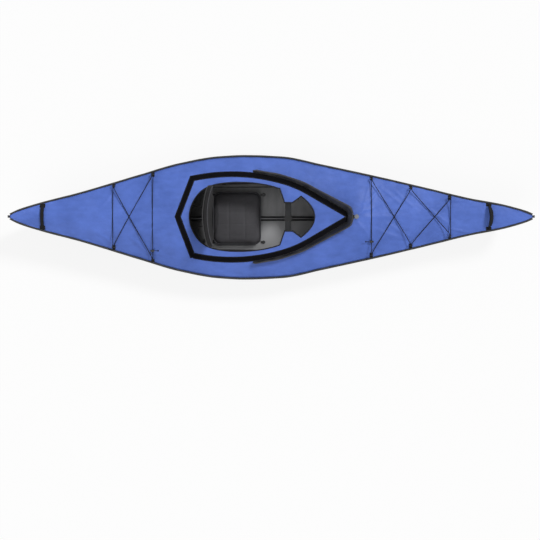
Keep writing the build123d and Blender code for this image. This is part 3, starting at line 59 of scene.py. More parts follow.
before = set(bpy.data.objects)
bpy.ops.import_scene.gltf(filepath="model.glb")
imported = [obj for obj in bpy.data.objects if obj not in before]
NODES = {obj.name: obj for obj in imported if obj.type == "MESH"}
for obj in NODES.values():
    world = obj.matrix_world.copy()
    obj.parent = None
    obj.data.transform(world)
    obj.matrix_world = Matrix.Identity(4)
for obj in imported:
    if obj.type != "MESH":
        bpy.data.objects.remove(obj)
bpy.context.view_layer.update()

# Hull lines, as in the model: shares of the half length, the half beam and the heights, in metres
HALF_LENGTH = 1.95
HALF_BEAM = 0.468
SKIN_END = 1.934
STEM_SCALE = 1.95 / 1.936
STEM_HEIGHT = 0.375
SHEER_MID = 0.241
SHEER_END = 0.385
PIPING_RADIUS = 0.007
SKIN_INSET = 0.0143
KEEL_RISE = 0.0033
BEAM_SHARES = [
    (-1.0, 0.03), (-0.96, 0.115), (-0.88, 0.225), (-0.73, 0.392), (-0.5, 0.686), (-0.35, 0.87),
    (-0.2, 0.98), (-0.1, 1.0), (0.04, 0.977), (0.2, 0.842), (0.42, 0.64), (0.6, 0.46), (0.76, 0.296),
    (0.88, 0.198), (0.97, 0.088), (1.0, 0.03),
]
KEEL_SHARES = [
    (0.0, 0.0), (0.42, 0.0), (0.58, 0.021), (0.75, 0.077), (0.86, 0.152), (0.91, 0.265),
    (0.95, 0.44), (0.975, 0.65), (1.0, 1.0),
]
FULLNESS = [(0.0, 3.0), (0.3, 2.9), (0.5, 2.3), (0.7, 1.65), (0.85, 1.35), (1.0, 1.25)]
SHEER_SHARES = [
    (-1.0, 1.0), (-0.9, 0.72), (-0.7, 0.5), (-0.45, 0.2), (-0.1, 0.0), (0.2, 0.11), (0.5, 0.3),
    (0.75, 0.52), (0.9, 0.76), (1.0, 1.0),
]
DECK_ARCH = [
    (-1.0, 1.8), (-0.6, 1.9), (-0.36, 2.3), (-0.2, 3.6), (0.12, 3.6), (0.33, 2.1), (0.6, 1.8), (1.0, 1.8),
]
RIDGE = [
    (-1.0, 0.388), (-0.9, 0.366), (-0.8, 0.360), (-0.37, 0.361), (-0.26, 0.334), (0.15, 0.334),
    (0.25, 0.347), (0.33, 0.361), (0.41, 0.331), (0.58, 0.319), (0.7, 0.326), (0.82, 0.346),
    (0.92, 0.366), (1.0, 0.388),
]
# Panel seam of the hull's side: places along and heights
SEAM_LINE = [
    (-1.203, 0.275), (-1.006, 0.197), (-0.837, 0.133), (-0.736, 0.106), (-0.4, 0.056), (-0.1, 0.036),
    (0.123, 0.041), (0.304, 0.072), (0.67, 0.145), (0.877, 0.211), (1.035, 0.252), (1.11, 0.268),
]

# Deck fittings, as in the model
RING_RADIUS = 0.014
RING_WIRE = 0.0022
RING_INSET = 0.031
RING_LIFT = 0.0218
CORD_RADIUS = 0.0024
LEG_SHIFT = 0.003
LEG_REACH = 0.016
# Each lacing's rings in turn: place along, side, and which way its legs are shifted
BOW_STOPS = [(0.749, 1, -1), (1.042, -1, -1), (1.331, 1, -1), (1.331, -1, 1), (1.042, 1, 1), (0.749, -1, 1)]
STERN_STOPS = [(-0.885, 1, 1), (-1.174, -1, 1), (-1.174, 1, -1), (-0.885, -1, -1)]

# Deflector: sideways move from the band, ends along, lean, and its section as shares across and up
WALL_FOOT = 0.039
WALL_START = -0.15
WALL_TIP = 0.592
WALL_LEAN = 35.0
WALL_HEIGHTS = (0.027, 0.058)
WALL_SECTION = [
    (0.0, 0.0), (0.0, 0.33), (0.0, 0.66), (-0.3, 0.90), (-0.35, 0.97), (0.2, 1.0), (0.9, 1.0),
    (1.35, 0.96), (1.3, 0.88), (1.0, 0.84), (1.0, 0.5), (1.15, 0.15), (2.2, 0.0),
]
WALL_CREST = 6

# Sections of tapes, as shares across and up, and of the hem, as shares across and heights
BAND_SECTION = [
    (0.0, 0.0), (0.02, 0.8), (0.06, 1.0), (0.25, 1.0), (0.5, 1.0), (0.75, 1.0), (0.94, 1.0), (0.98, 0.8),
    (1.0, 0.0), (0.5, -0.15),
]
HEM_SECTION = [
    (0.0, 0.0004), (0.0, 0.0022), (0.3, 0.0032), (0.8, 0.0028), (1.0, 0.0006), (0.95, -0.003),
    (0.5, -0.0042), (0.0, -0.0036),
]
SEAM_SECTION = [(-1.0, -0.0006), (-0.85, 0.0011), (0.0, 0.0013), (0.85, 0.0011), (1.0, -0.0006)]
# Levels of the cushion from underneath to its top: shares outward, of the height and of the crown
CUSHION_LEVELS = [
    (0.0, 0.0, 0.0), (0.90, 0.0, 0.0), (0.975, 0.12, 0.0), (1.0, 0.45, 0.0), (0.985, 0.8, 0.0),
    (0.94, 0.97, 0.0), (0.8, 1.0, 0.6), (0.5, 1.0, 0.9), (0.0, 1.0, 1.0),
]

WHITE = (1, 1, 1, 1)


def smooth(stations):
    """A monotone cubic curve through the stations, as a function of its first value."""
    xs = [station[0] for station in stations]
    ys = [station[1] for station in stations]
    slopes = [(y2 - y1) / (x2 - x1) for x1, x2, y1, y2 in zip(xs, xs[1:], ys, ys[1:])]
    inner = [0.0 if a * b <= 0 else 2 * a * b / (a + b) for a, b in zip(slopes, slopes[1:])]
    tangents = [slopes[0]] + inner + [slopes[-1]]

    def value(x):
        i = max(0, min(len(slopes) - 1, bisect_right(xs, x) - 1))
        width = xs[i + 1] - xs[i]
        t = (x - xs[i]) / width
        rise = ys[i] * (1 + 2 * t) * (1 - t) ** 2 + ys[i + 1] * t * t * (3 - 2 * t)
        return rise + width * (tangents[i] * t * (1 - t) ** 2 - tangents[i + 1] * t * t * (1 - t))

    return value


beam_share = smooth(BEAM_SHARES)
keel_share = smooth(KEEL_SHARES)
fullness_share = smooth(FULLNESS)
sheer_share = smooth(SHEER_SHARES)
deck_arch = smooth(DECK_ARCH)
ridge_height = smooth(RIDGE)
seam_height = smooth(SEAM_LINE)


def outer_half(x):
    return HALF_BEAM * beam_share(x / HALF_LENGTH)


def skin_half(x):
    return outer_half(x) - SKIN_INSET


def sheer_z(x):
    return SHEER_MID + (SHEER_END - SHEER_MID) * sheer_share(x / HALF_LENGTH)


def keel_z(x):
    return STEM_HEIGHT * keel_share(min(1.0, abs(x) / HALF_LENGTH * STEM_SCALE)) + KEEL_RISE


def deck_z(x, y):
    """Height of the taut deck, without its wrinkles."""
    edge = sheer_z(x) + 0.0026
    crown = ridge_height(x / HALF_LENGTH) - edge
    return edge + crown * (1 - min(1.0, abs(y) / skin_half(x)) ** deck_arch(x / HALF_LENGTH))


def hull_point(x, angle):
    """Point of the hull's side at a station, from the port sheer round the keel to starboard."""
    half = skin_half(x)
    depth = sheer_z(x) - keel_z(x)
    power = 2 / fullness_share(abs(x) / HALF_LENGTH)
    across = cos(angle)
    side = 1 if across >= 0 else -1
    return Vector((x, side * half * abs(across) ** power, sheer_z(x) - depth * sin(angle) ** power))


def hull_angle(x, z):
    """Angle of the port hull point at a height."""
    share = min(1.0, max(0.0, (sheer_z(x) - z) / (sheer_z(x) - keel_z(x))))
    return asin(share ** (fullness_share(abs(x) / HALF_LENGTH) / 2))


def arc_through(a, b, c, count):
    """Points of the arc from a through b to c, without its first."""
    (ax, ay), (bx, by), (cx, cy) = a, b, c
    d = 2 * (ax * (by - cy) + bx * (cy - ay) + cx * (ay - by))
    ux = ((ax**2 + ay**2) * (by - cy) + (bx**2 + by**2) * (cy - ay) + (cx**2 + cy**2) * (ay - by)) / d
    uy = ((ax**2 + ay**2) * (cx - bx) + (bx**2 + by**2) * (ax - cx) + (cx**2 + cy**2) * (bx - ax)) / d
    start, end = atan2(ay - uy, ax - ux), atan2(cy - uy, cx - ux)
    radius = hypot(ax - ux, ay - uy)
    turns = [start + (end - start) * (i + 1) / count for i in range(count)]
    return [(ux + radius * cos(turn), uy + radius * sin(turn)) for turn in turns]


def line_to(a, b, count):
    """Points of the line from a to b, without its first."""
    return [
        (a[0] + (b[0] - a[0]) * (i + 1) / count, a[1] + (b[1] - a[1]) * (i + 1) / count)
        for i in range(count)
    ]


def curve_to(a, b, leave, arrive, count):
    """Points of a cubic from a to b with the tangents given, without its first."""
    points = []
    for i in range(count):
        t = (i + 1) / count
        h = (2 * t**3 - 3 * t**2 + 1, t**3 - 2 * t**2 + t, 3 * t**2 - 2 * t**3, t**3 - t**2)
        points.append(tuple(h[0] * a[k] + h[1] * leave[k] + h[2] * b[k] + h[3] * arrive[k] for k in (0, 1)))
    return points


def traced(start, *stretches):
    """Points from a start through stretches, each a function and what it takes after the point reached."""
    points = [start]
    for stretch, *settings in stretches:
        points += stretch(points[-1], *settings)
    return points


# Port half of the cockpit's edge, from its rear round the flap to its front
COCKPIT_HALF = traced(
    (-0.611, 0.0),
    (curve_to, (-0.549, 0.166), (0.0, 0.16), (0.12, 0.16), 14),
    (curve_to, (-0.29, 0.258), (0.17, 0.215), (0.30, 0.012), 20),
    (curve_to, (0.066, 0.211), (0.36, 0.014), (0.345, -0.12), 28),
    (line_to, (0.101, 0.108), 10),
    (line_to, (0.159, 0.108), 6),
    (line_to, (0.222, 0.155), 8),
    (curve_to, (0.325, 0.0), (0.155, -0.115), (0.0, -0.2), 20),
)
# Port half of the skirt band's inner edge, from its rear point to its front point
BAND_HALF = traced(
    (-0.67, 0.0),
    (line_to, (-0.572, 0.268), 20),
    (arc_through, (-0.27, 0.297), (0.06, 0.25), 46),
    (arc_through, (0.168, 0.2137), (0.27, 0.163), 18),
    (line_to, (0.548, 0.0), 26),
)


def whole_outline(half):
    """Closed outline from its port half, without the two end points twice."""
    return half + [(x, -y) for x, y in reversed(half[1:-1])]


def neighbours(points, i, closed):
    """The points before and after one, which stands in for what an open row lacks at its ends."""
    before = points[i - 1] if closed or i else points[i]
    after = points[(i + 1) % len(points)] if closed or i < len(points) - 1 else points[i]
    return before, after


def moved_out(points, distance, closed=True):
    """Outline moved sideways, away from what it goes round, with its corners mitred."""
    moved = []
    for i, (x, y) in enumerate(points):
        before, after = neighbours(points, i, closed)
        normals = []
        for (ax, ay), (bx, by) in ((before, (x, y)), ((x, y), after)):
            length = hypot(bx - ax, by - ay)
            if length:
                normals.append((-(by - ay) / length, (bx - ax) / length))
        nx = sum(n[0] for n in normals)
        ny = sum(n[1] for n in normals)
        scale = len(normals) / max(0.3, nx * nx + ny * ny) if len(normals) > 1 else 1.0
        moved.append((x + nx * scale * distance, y + ny * scale * distance))
    return moved


COCKPIT = whole_outline(COCKPIT_HALF)
BAND = whole_outline(BAND_HALF)
# Places along between which the deck may be cut, and how far from the hem its wrinkles are calmed
COCKPIT_START, COCKPIT_END = -0.63, 0.34
CALM_REACH = 0.12


def inside(outline, x, y):
    """Whether a point lies in a closed outline."""
    hit = False
    for (ax, ay), (bx, by) in zip(outline, outline[1:] + outline[:1]):
        if (ay > y) != (by > y) and x < (bx - ax) * (y - ay) / (by - ay) + ax:
            hit = not hit
    return hit


def nearest_on(outline, x, y):
    """Nearest point of a closed outline, and its distance."""
    best = (9.0, x, y)
    for (ax, ay), (bx, by) in zip(outline, outline[1:] + outline[:1]):
        dx, dy = bx - ax, by - ay
        t = max(0.0, min(1.0, ((x - ax) * dx + (y - ay) * dy) / max(1e-12, dx * dx + dy * dy)))
        px, py = ax + dx * t, ay + dy * t
        best = min(best, (hypot(px - x, py - y), px, py))
    return best


# Folds of the deck cloth: start, end, half width and height of each
DECK_FOLDS = [
    ((0.66, 0.02), (0.80, 0.20), 0.012, 0.0016), ((0.66, 0.03), (0.90, 0.13), 0.014, 0.0014),
    ((0.64, -0.04), (0.78, -0.20), 0.012, 0.0016), ((0.70, 0.0), (1.02, 0.01), 0.018, 0.0018),
    ((0.68, 0.05), (0.74, 0.27), 0.010, 0.0014), ((0.68, 0.09), (0.84, 0.235), 0.010, 0.0012),
    ((0.82, 0.22), (0.96, 0.10), 0.010, 0.0014), ((0.92, 0.20), (1.06, 0.07), 0.010, 0.0013),
    ((1.00, -0.16), (1.10, -0.04), 0.010, 0.0014), ((0.80, -0.10), (0.98, -0.17), 0.012, 0.0015),
    ((0.86, -0.05), (1.05, -0.15), 0.011, 0.0014), ((1.10, 0.02), (1.30, 0.10), 0.012, 0.0016),
    ((1.16, -0.02), (1.30, 0.03), 0.010, 0.0018), ((1.18, 0.06), (1.33, -0.06), 0.010, 0.0014),
    ((1.34, -0.09), (1.48, -0.12), 0.010, 0.0018), ((1.34, 0.12), (1.50, 0.12), 0.010, 0.0014),
    ((-0.62, 0.30), (-0.80, 0.36), 0.014, 0.0018), ((-0.60, 0.31), (-0.66, 0.40), 0.012, 0.0016),
    ((-0.58, -0.30), (-0.70, -0.40), 0.013, 0.0016), ((-0.72, 0.03), (-0.98, 0.06), 0.018, 0.0015),
    ((-0.72, -0.03), (-0.95, -0.12), 0.016, 0.0015), ((-0.90, 0.26), (-1.05, 0.10), 0.012, 0.0014),
    ((-0.92, -0.27), (-1.08, -0.12), 0.012, 0.0014), ((-1.17, 0.19), (-1.28, 0.05), 0.012, 0.0015),
    ((-1.17, -0.20), (-1.34, -0.09), 0.012, 0.0015), ((-1.30, 0.02), (-1.60, 0.03), 0.016, 0.0014),
    ((-0.52, 0.20), (-0.40, 0.275), 0.010, 0.0012), ((-0.52, -0.20), (-0.38, -0.275), 0.010, 0.0012),
    ((0.24, 0.14), (0.34, 0.06), 0.010, 0.0012), ((0.10, 0.18), (0.20, 0.145), 0.009, 0.0016),
    ((0.10, -0.18), (0.20, -0.145), 0.009, 0.0016), ((-0.64, 0.03), (-0.625, 0.08), 0.006, 0.0016),
]
# Folds of the hull's side: places along and heights of both ends, half width and height
HULL_FOLDS = [
    ((-1.80, 0.30), (-1.62, 0.18), 0.012, 0.003), ((-1.84, 0.27), (-1.70, 0.12), 0.011, 0.003),
    ((-1.72, 0.26), (-1.45, 0.20), 0.012, 0.0025), ((-1.66, 0.12), (-1.30, 0.07), 0.014, 0.003),
    ((-1.62, 0.08), (-1.20, 0.045), 0.012, 0.0028), ((-1.55, 0.17), (-1.25, 0.16), 0.012, 0.0022),
    ((-1.18, 0.25), (-1.02, 0.17), 0.010, 0.003), ((-1.10, 0.24), (-0.98, 0.19), 0.009, 0.0026),
    ((-0.62, 0.23), (-0.66, 0.10), 0.010, 0.0022), ((-0.30, 0.235), (-0.32, 0.15), 0.010, 0.0018),
    ((0.02, 0.23), (-0.02, 0.11), 0.012, 0.0022), ((0.20, 0.235), (0.34, 0.10), 0.012, 0.0024),
    ((0.34, 0.24), (0.24, 0.12), 0.010, 0.0022), ((0.46, 0.13), (0.30, 0.05), 0.012, 0.002),
    ((0.96, 0.25), (0.84, 0.20), 0.009, 0.003), ((1.06, 0.262), (0.93, 0.215), 0.008, 0.0028),
    ((1.32, 0.28), (1.18, 0.16), 0.014, 0.0035), ((1.44, 0.30), (1.34, 0.16), 0.012, 0.003),
    ((1.50, 0.22), (1.22, 0.12), 0.013, 0.003), ((1.66, 0.18), (1.34, 0.07), 0.014, 0.0035),
    ((1.74, 0.15), (1.40, 0.06), 0.012, 0.003), ((1.80, 0.25), (1.60, 0.22), 0.012, 0.0028),
    ((1.86, 0.30), (1.72, 0.20), 0.012, 0.003), ((1.60, 0.11), (1.30, 0.045), 0.011, 0.0026),
]


def fold_height(folds, a, b):
    """Sum of the folds at a place of the cloth."""
    total = 0.0
    for (ax, ay), (bx, by), half, height in folds:
        if min(ax, bx) - 0.05 > a or max(ax, bx) + 0.05 < a:
            continue
        dx, dy = bx - ax, by - ay
        t = max(0.0, min(1.0, ((a - ax) * dx + (b - ay) * dy) / (dx * dx + dy * dy)))
        far = hypot(a - ax - dx * t, b - ay - dy * t)
        total += height * exp(-((far / half) ** 2)) * sin(pi * min(1.0, 0.15 + 0.85 * t)) ** 0.5
    return total


def ripple(x, y, z, scale, seed):
    return noise.noise(Vector((x, y, z)) * scale + Vector((seed, 0.0, seed * 0.7)))


def deck_relief(x, y, depth):
    """Wrinkles of the deck cloth, none at the seams that hold it."""
    edge = min(1.0, (1 - abs(y) / skin_half(x)) / 0.08)
    soft = 0.006 * ripple(x, y, 0, 5.0, 3.1) + 0.0042 * ripple(x * 0.6, y, 0, 15.0, 8.3)
    soft += 0.0013 * ripple(x, y, 0, 44.0, 2.6)
    pull = 0.0014 * sin(x * 52 + 1.7 * noise.noise(Vector((x * 3, 0, 2))))
    pull *= max(0.0, 1 - 3.2 * (1 - abs(y) / skin_half(x)))
    return depth * (edge * (soft + 3.4 * fold_height(DECK_FOLDS, x, y)) + pull)


def cloth_z(x, y, depth=1.0):
    """Height of the deck cloth, calmer near the cockpit's hem."""
    calm = 1.0
    if COCKPIT_START - CALM_REACH < x < COCKPIT_END + CALM_REACH and abs(y) < 0.36:
        calm = min(1.0, 0.3 + nearest_on(COCKPIT, x, y)[0] / CALM_REACH)
    return deck_z(x, y) + calm * deck_relief(x, y, depth)


def hull_relief(x, z, side, depth):
    """Wrinkles of the hull sheet, with short puckers under the gunwale."""
    below = sheer_z(x) - z
    bottom = min(1.0, max(0.0, (z - keel_z(x)) / 0.05))
    edge = min(1.0, below / 0.012)
    ends = min(1.0, max(0.0, (abs(x) - 0.9) / 0.7))
    soft = (0.002 + 0.002 * ends) * ripple(x, side * 0.4, z * 1.6, 5.5, 5.2)
    soft += (0.0005 + 0.0011 * ends) * ripple(x, side * 0.4, z * 2.2, 19.0, 1.4)
    pucker = 0.0011 * noise.noise(Vector((x * 26, side * 3.0, 0.4))) * exp(-((below / 0.05) ** 2))
    return depth * edge * bottom * (soft + pucker + fold_height(HULL_FOLDS, x, z))


# Finishes


class Value:
    """A number that varies over a surface; arithmetic on it adds Math nodes."""

    def __init__(self, nodes, socket):
        self.nodes = nodes
        self.socket = socket

    def reckon(self, operation, *terms, **settings):
        return self.nodes.node("ShaderNodeMath", {"operation": operation, **settings}, *terms)

    def __add__(self, other):
        return self.reckon("ADD", self, other)

    def __sub__(self, other):
        return self.reckon("SUBTRACT", self, other)

    def __mul__(self, other):
        return self.reckon("MULTIPLY", self, other)

    __radd__ = __add__
    __rmul__ = __mul__

    def wave(self, pitch):
        """Sine that passes through zero at each pitch."""
        return self.reckon("SINE", self * (pi / pitch))

    def size(self):
        """The number without its sign."""
        return self.reckon("ABSOLUTE", self)

    def within(self, low, high):
        """Share of the way from low to high, clipped to 0 and 1."""
        return self.reckon("DIVIDE", self - low, high - low, use_clamp=True)


class Nodes:
    """A node tree that grows by values."""

    def __init__(self, tree):
        self.tree = tree

    def give(self, value, socket):
        """Links a value to a socket, or sets the socket to a constant."""
        if isinstance(value, Value):
            self.tree.links.new(value.socket, socket)
        else:
            socket.default_value = value

    def node(self, kind, settings, *values, out=0, **named):
        """Adds a node with its settings, then the values or links of its sockets."""
        node = self.tree.nodes.new(kind)
        for key, value in settings.items():
            setattr(node, key, value)
        for key, value in [*enumerate(values), *named.items()]:
            self.give(value, node.inputs[key])
        return Value(self, node.outputs[out])

    def bright_to(self, kinds, plain, bright, amount, output):
        """Ends the tree with one shader for the kinds of ray named, and with another for the rest."""
        rays = self.node("ShaderNodeLightPath", {}).socket.node.outputs
        seen = sum(Value(self, rays[f"Is {kind} Ray"]) for kind in kinds)
        mixed = self.node("ShaderNodeMixShader", {}, seen.within(0.0, 1.0) * amount, plain, bright)
        self.give(mixed, self.tree.nodes[output].inputs[0])


class Finish(Nodes):
    """A material and its nodes."""

    def __init__(self, name, color, roughness, metallic=0.0, **constants):
        self.material = bpy.data.materials.new(name)
        self.material.use_nodes = True
        super().__init__(self.material.node_tree)
        self.shader = self.tree.nodes["Principled BSDF"]
        self.color = (*color, 1.0)
        constants |= {"Base_Color": self.color, "Roughness": roughness, "Metallic": metallic}
        for key, value in constants.items():
            self.shader.inputs[key.replace("_", " ")].default_value = value
        self.place = self.node("ShaderNodeTexCoord", {}, out="Object")

    def noise(self, scale, detail=3.0, stretch=(1.0, 1.0, 1.0)):
        """Noise from 0 to 1, in cycles a metre, stretched along the axes."""
        place = self.node("ShaderNodeMapping", {}, self.place, Scale=stretch)
        return self.node("ShaderNodeTexNoise", {}, place, Scale=scale, Detail=detail, out="Fac")

    def axes(self):
        """The three coordinates of a place, in metres."""
        node = self.node("ShaderNodeSeparateXYZ", {}, self.place).socket.node
        return [Value(self, output) for output in node.outputs]

    def blend(self, share, color, into=None):
        """Colour that goes from the base colour, or the one given, to another."""
        mixed = self.node("ShaderNodeMix", {"data_type": "RGBA"}, share, out=2)
        inputs = mixed.socket.node.inputs
        for value, socket in ((into or self.color, inputs[6]), (color, inputs[7])):
            self.give(value if isinstance(value, Value) else (*value[:3], 1.0), socket)
        return mixed

    def surfaced(self, color, roughness, height, distance, strength):
        """The material with its colour, its roughness and fine relief as deep as the distance."""
        bump = self.node("ShaderNodeBump", {}, Height=height, Distance=distance, Strength=strength)
        for name, value in (("Base Color", color), ("Roughness", roughness), ("Normal", bump)):
            self.give(value, self.shader.inputs[name])
        return self.material


def tinted(color, factor, plus=0.0):
    """The colour made paler or deeper."""
    return tuple(min(1.0, c * factor + plus) for c in color)


def deck_cloth_finish(color):
    """Coated polyester: fine weave, soft blotches and paler stretched folds."""
    finish = Finish("deck_cloth", color, 0.5, Specular_IOR_Level=0.3, Sheen_Weight=0.12, Sheen_Roughness=0.4)
    x, y, z = finish.axes()
    streaks = finish.noise(26.0, 4.0, (0.5, 1.0, 1.0))
    shade = (finish.noise(4.5) * 0.6 + streaks * 0.4).within(0.3, 0.72)
    cloth = finish.blend(shade, tinted(color, 1.22, 0.012), tinted(color, 0.84))
    threads = x.wave(0.0011) * y.wave(0.0011) * 0.5 + 0.5
    speckle = (threads * 0.5 + finish.noise(900.0, 2.0) * 0.5).within(0.75, 0.25) * 0.18
    cloth = finish.blend(speckle, tinted(color, 0.6), cloth)
    relief = threads + 0.6 * finish.noise(140.0)
    return finish.surfaced(cloth, 0.44 + 0.16 * streaks, relief, 0.00025, 0.5)


def hull_sheet_finish(color):
    """Coated hull sheet: satin, faint fabric pattern, scuffs low down and dusty streaks."""
    finish = Finish("hull_sheet", color, 0.38, Specular_IOR_Level=0.5)
    x, y, z = finish.axes()
    dust = finish.noise(9.0, 6.0, (0.35, 1.0, 1.6))
    low = z.within(0.10, 0.0)
    sheet = finish.blend(dust.within(0.2, 0.85), tinted(color, 1.25, 0.004), tinted(color, 0.8))
    scuffs = finish.noise(60.0, 5.0, (0.15, 1.0, 1.0)).within(0.58, 0.68) * low * 0.5
    sheet = finish.blend(scuffs, (0.13, 0.13, 0.132), sheet)
    relief = x.wave(0.0024) * z.wave(0.0024) * 0.5 + 1.6 * finish.noise(45.0, 4.0, (0.5, 1.0, 1.0))
    return finish.surfaced(sheet, 0.28 + 0.14 * dust + 0.15 * low, relief, 0.0005, 0.55)


def webbing_finish(name, color, pitch=0.0022, roughness=0.75, gloss=0.15):
    """Woven webbing: ribs across, a herringbone and paler worn edges."""
    finish = Finish(name, color, roughness, Specular_IOR_Level=gloss)
    x, y, z = finish.axes()
    ribs = (x + y).wave(pitch).size()
    cross = (x - y + z).wave(pitch).size()
    worn = finish.noise(70.0, 4.0)
    cloth = finish.blend((ribs * cross * 0.6 + worn * 0.4).within(0.2, 0.9), tinted(color, 2.1, 0.006))
    return finish.surfaced(cloth, roughness - 0.12 + 0.2 * worn, ribs + cross + 0.4 * worn, 0.0004, 0.6)


def loop_band_finish(color):
    """Hook-and-loop tape: matt, fuzzy and patchy."""
    finish = Finish("loop_band", color, 0.95, Specular_IOR_Level=0.05)
    fuzz = finish.noise(1400.0)
    patches = finish.noise(30.0)
    tape = finish.blend((fuzz * 0.6 + patches * 0.4).within(0.35, 0.75), tinted(color, 2.2))
    return finish.surfaced(tape, 0.8 + 0.15 * patches, fuzz + 0.5 * finish.noise(400.0, 2.0), 0.0008, 0.7)


def wall_finish(color):
    """Stiffened black sheet of the deflector, satin with long soft dents; its paler patches over the dents
    are painted highlight streaks.
    """
    finish = Finish("deflector_sheet", color, 0.36, Specular_IOR_Level=0.5)
    dents_and_painted_highlights = finish.noise(14.0, 4.0)
    # Painted highlight: the sheet is made paler where the dents rise, as glossy highlight streaks; the
    # dents' relief itself comes from the bump.
    sheet = finish.blend(dents_and_painted_highlights.within(0.4, 0.72), tinted(color, 2.6, 0.01))
    return finish.surfaced(sheet, 0.28 + 0.22 * dents_and_painted_highlights, 1.5 * dents_and_painted_highlights + 0.1 * finish.noise(500.0), 0.003, 0.5)


def floor_foam_finish(color):
    """Coated floor panel: fine fabric and cross creases, with a painted highlight to starboard and painted
    shade behind the backrest.
    """
    finish = Finish("floor_foam", color, 0.42, Specular_IOR_Level=0.5)
    x, y, z = finish.axes()
    creases = finish.noise(30.0, 5.0, (1.0, 0.12, 1.0))
    grime = finish.noise(8.0, 4.0)
    cloth = finish.blend((grime * 0.5 + creases * 0.5).within(0.35, 0.7), tinted(color, 1.35))
    # Painted highlight: the panel is paler towards starboard.
    cloth = finish.blend(y.within(0.02, -0.06), tinted(color, 2.1), cloth)
    # Painted shade: the panel is darkened behind the backrest.
    cloth = finish.blend(x.within(-0.43, -0.52), tinted(color, 0.35), cloth)
    relief = creases * 2.0 + x.wave(0.0016) * y.wave(0.0016) * 0.4
    return finish.surfaced(cloth, 0.34 + 0.2 * grime, relief, 0.0012, 0.5)


def seat_cloth_finish(name, color):
    """Seat cloth: close weave with faint lengthwise ribs and soft blotches."""
    finish = Finish(name, color, 0.75, Specular_IOR_Level=0.2, Sheen_Weight=0.05, Sheen_Roughness=0.5)
    x, y, z = finish.axes()
    ribs = y.wave(0.0035).size()
    knots = x.wave(0.0042).size()
    blotch = finish.noise(12.0, 4.0)
    cloth = finish.blend((ribs * knots * 0.55 + blotch * 0.45).within(0.15, 0.85), tinted(color, 1.9, 0.004))
    relief = ribs + knots + 0.5 * finish.noise(200.0)
    return finish.surfaced(cloth, 0.66 + 0.2 * blotch, relief, 0.0006, 0.6)


def cord_finish():
    """Braided cover of the elastic cord."""
    finish = Finish("elastic_cord", (0.006, 0.006, 0.007), 0.7, Specular_IOR_Level=0.2)
    x, y, z = finish.axes()
    braid = (x + y).wave(0.0016) * (x - y + z).wave(0.0016) * 0.5 + 0.5
    cover = finish.blend(braid.within(0.3, 0.9), (0.02, 0.02, 0.023))
    return finish.surfaced(cover, 0.6 + 0.2 * braid, braid, 0.0004, 0.7)


def plain_finish(name, color, roughness, grain, depth, metallic=0.0, stretch=(1, 1, 1), spread=1.5):
    """Moulded, drawn or brushed surface with grain and wear."""
    finish = Finish(name, color, roughness, metallic)
    marks = finish.noise(grain, 4.0, stretch)
    wear = finish.noise(22.0, 4.0)
    shade = finish.blend((marks * 0.5 + wear * 0.5).within(0.35, 0.75), tinted(color, spread, 0.004))
    return finish.surfaced(shade, roughness - 0.06 + 0.16 * wear, marks, depth, 0.5)


# Name, colour, pitch, roughness and gloss of each webbing
WEBBINGS = {
    "webbing": ("black_webbing", (0.007, 0.007, 0.008)),
    "binding": ("edge_binding", (0.013, 0.013, 0.014), 0.0016, 0.6),
    "piping": ("gunwale_binding", (0.012, 0.012, 0.013), 0.002, 0.55, 0.4),
    "edge": ("pad_binding", (0.05, 0.05, 0.055), 0.0016, 0.6),
}
# Name, colour, roughness, grain and its depth, then metallic, stretch and spread where they differ
PLAIN_SURFACES = {
    "air": ("air_skin", (0.014, 0.014, 0.015), 0.4, 90.0, 0.0006),
    "patch": ("patch_coat", (0.19, 0.2, 0.23), 0.5, 300.0, 0.0002),
    "tube": ("tube_metal", (0.075, 0.076, 0.08), 0.36, 160.0, 0.0001, 0.85, (0.05, 1, 1), 1.3),
    "rib": ("rib_metal", (0.042, 0.043, 0.046), 0.42, 200.0, 0.0001, 0.7, (1, 0.06, 0.06), 1.3),
    "plastic": ("black_plastic", (0.014, 0.014, 0.015), 0.42, 520.0, 0.0002),
    "valve": ("valve_plastic", (0.03, 0.03, 0.032), 0.38, 420.0, 0.0002),
    "board": ("seat_board", (0.016, 0.016, 0.017), 0.55, 300.0, 0.0003),
    "steel": ("pin_steel", (0.6, 0.6, 0.6), 0.25, 200.0, 0.00005, 1.0, (1, 1, 1), 1.15),
    "ring": ("ring_coat", (0.02, 0.02, 0.021), 0.3, 260.0, 0.0001),
    "foam": ("foam_grip", (0.018, 0.018, 0.019), 0.85, 900.0, 0.0006),
    "strip": ("keel_rubber", (0.016, 0.016, 0.017), 0.55, 180.0, 0.0005),
    "stitch": ("stitch_thread", (0.03, 0.03, 0.032), 0.6, 600.0, 0.0003),
}
MATERIALS = {}


def made_material(name):
    settings = bpy.context.scene.kayak
    if name in WEBBINGS:
        return webbing_finish(*WEBBINGS[name])
    if name in PLAIN_SURFACES:
        return plain_finish(*PLAIN_SURFACES[name])
    makers = {
        "deck": lambda: deck_cloth_finish(settings.deck.color),
        "hull": lambda: hull_sheet_finish(settings.hull.color),
        "band": lambda: loop_band_finish((0.0035, 0.0034, 0.0045)),
        "wall": lambda: wall_finish((0.012, 0.012, 0.013)),
        "floor": lambda: floor_foam_finish((0.18, 0.181, 0.186)),
        "seat": lambda: seat_cloth_finish("seat_cloth", settings.seat.color),
        # Painted shade: the backrest's cloth is the seat cloth made much darker.
        "back": lambda: seat_cloth_finish("painted_shade_back_cloth", tinted(settings.seat.color, 0.18)),
        "cord": cord_finish,
    }
    return makers[name]()


def material(name):
    """Makes a material when it is first asked for."""
    if name not in MATERIALS:
        MATERIALS[name] = made_material(name)
    return MATERIALS[name]


# Making and keeping pieces


def linked(name, data):
    """New object of the scene."""
    made = bpy.data.objects.new(name, data)
    bpy.context.scene.collection.objects.link(made)
    return made


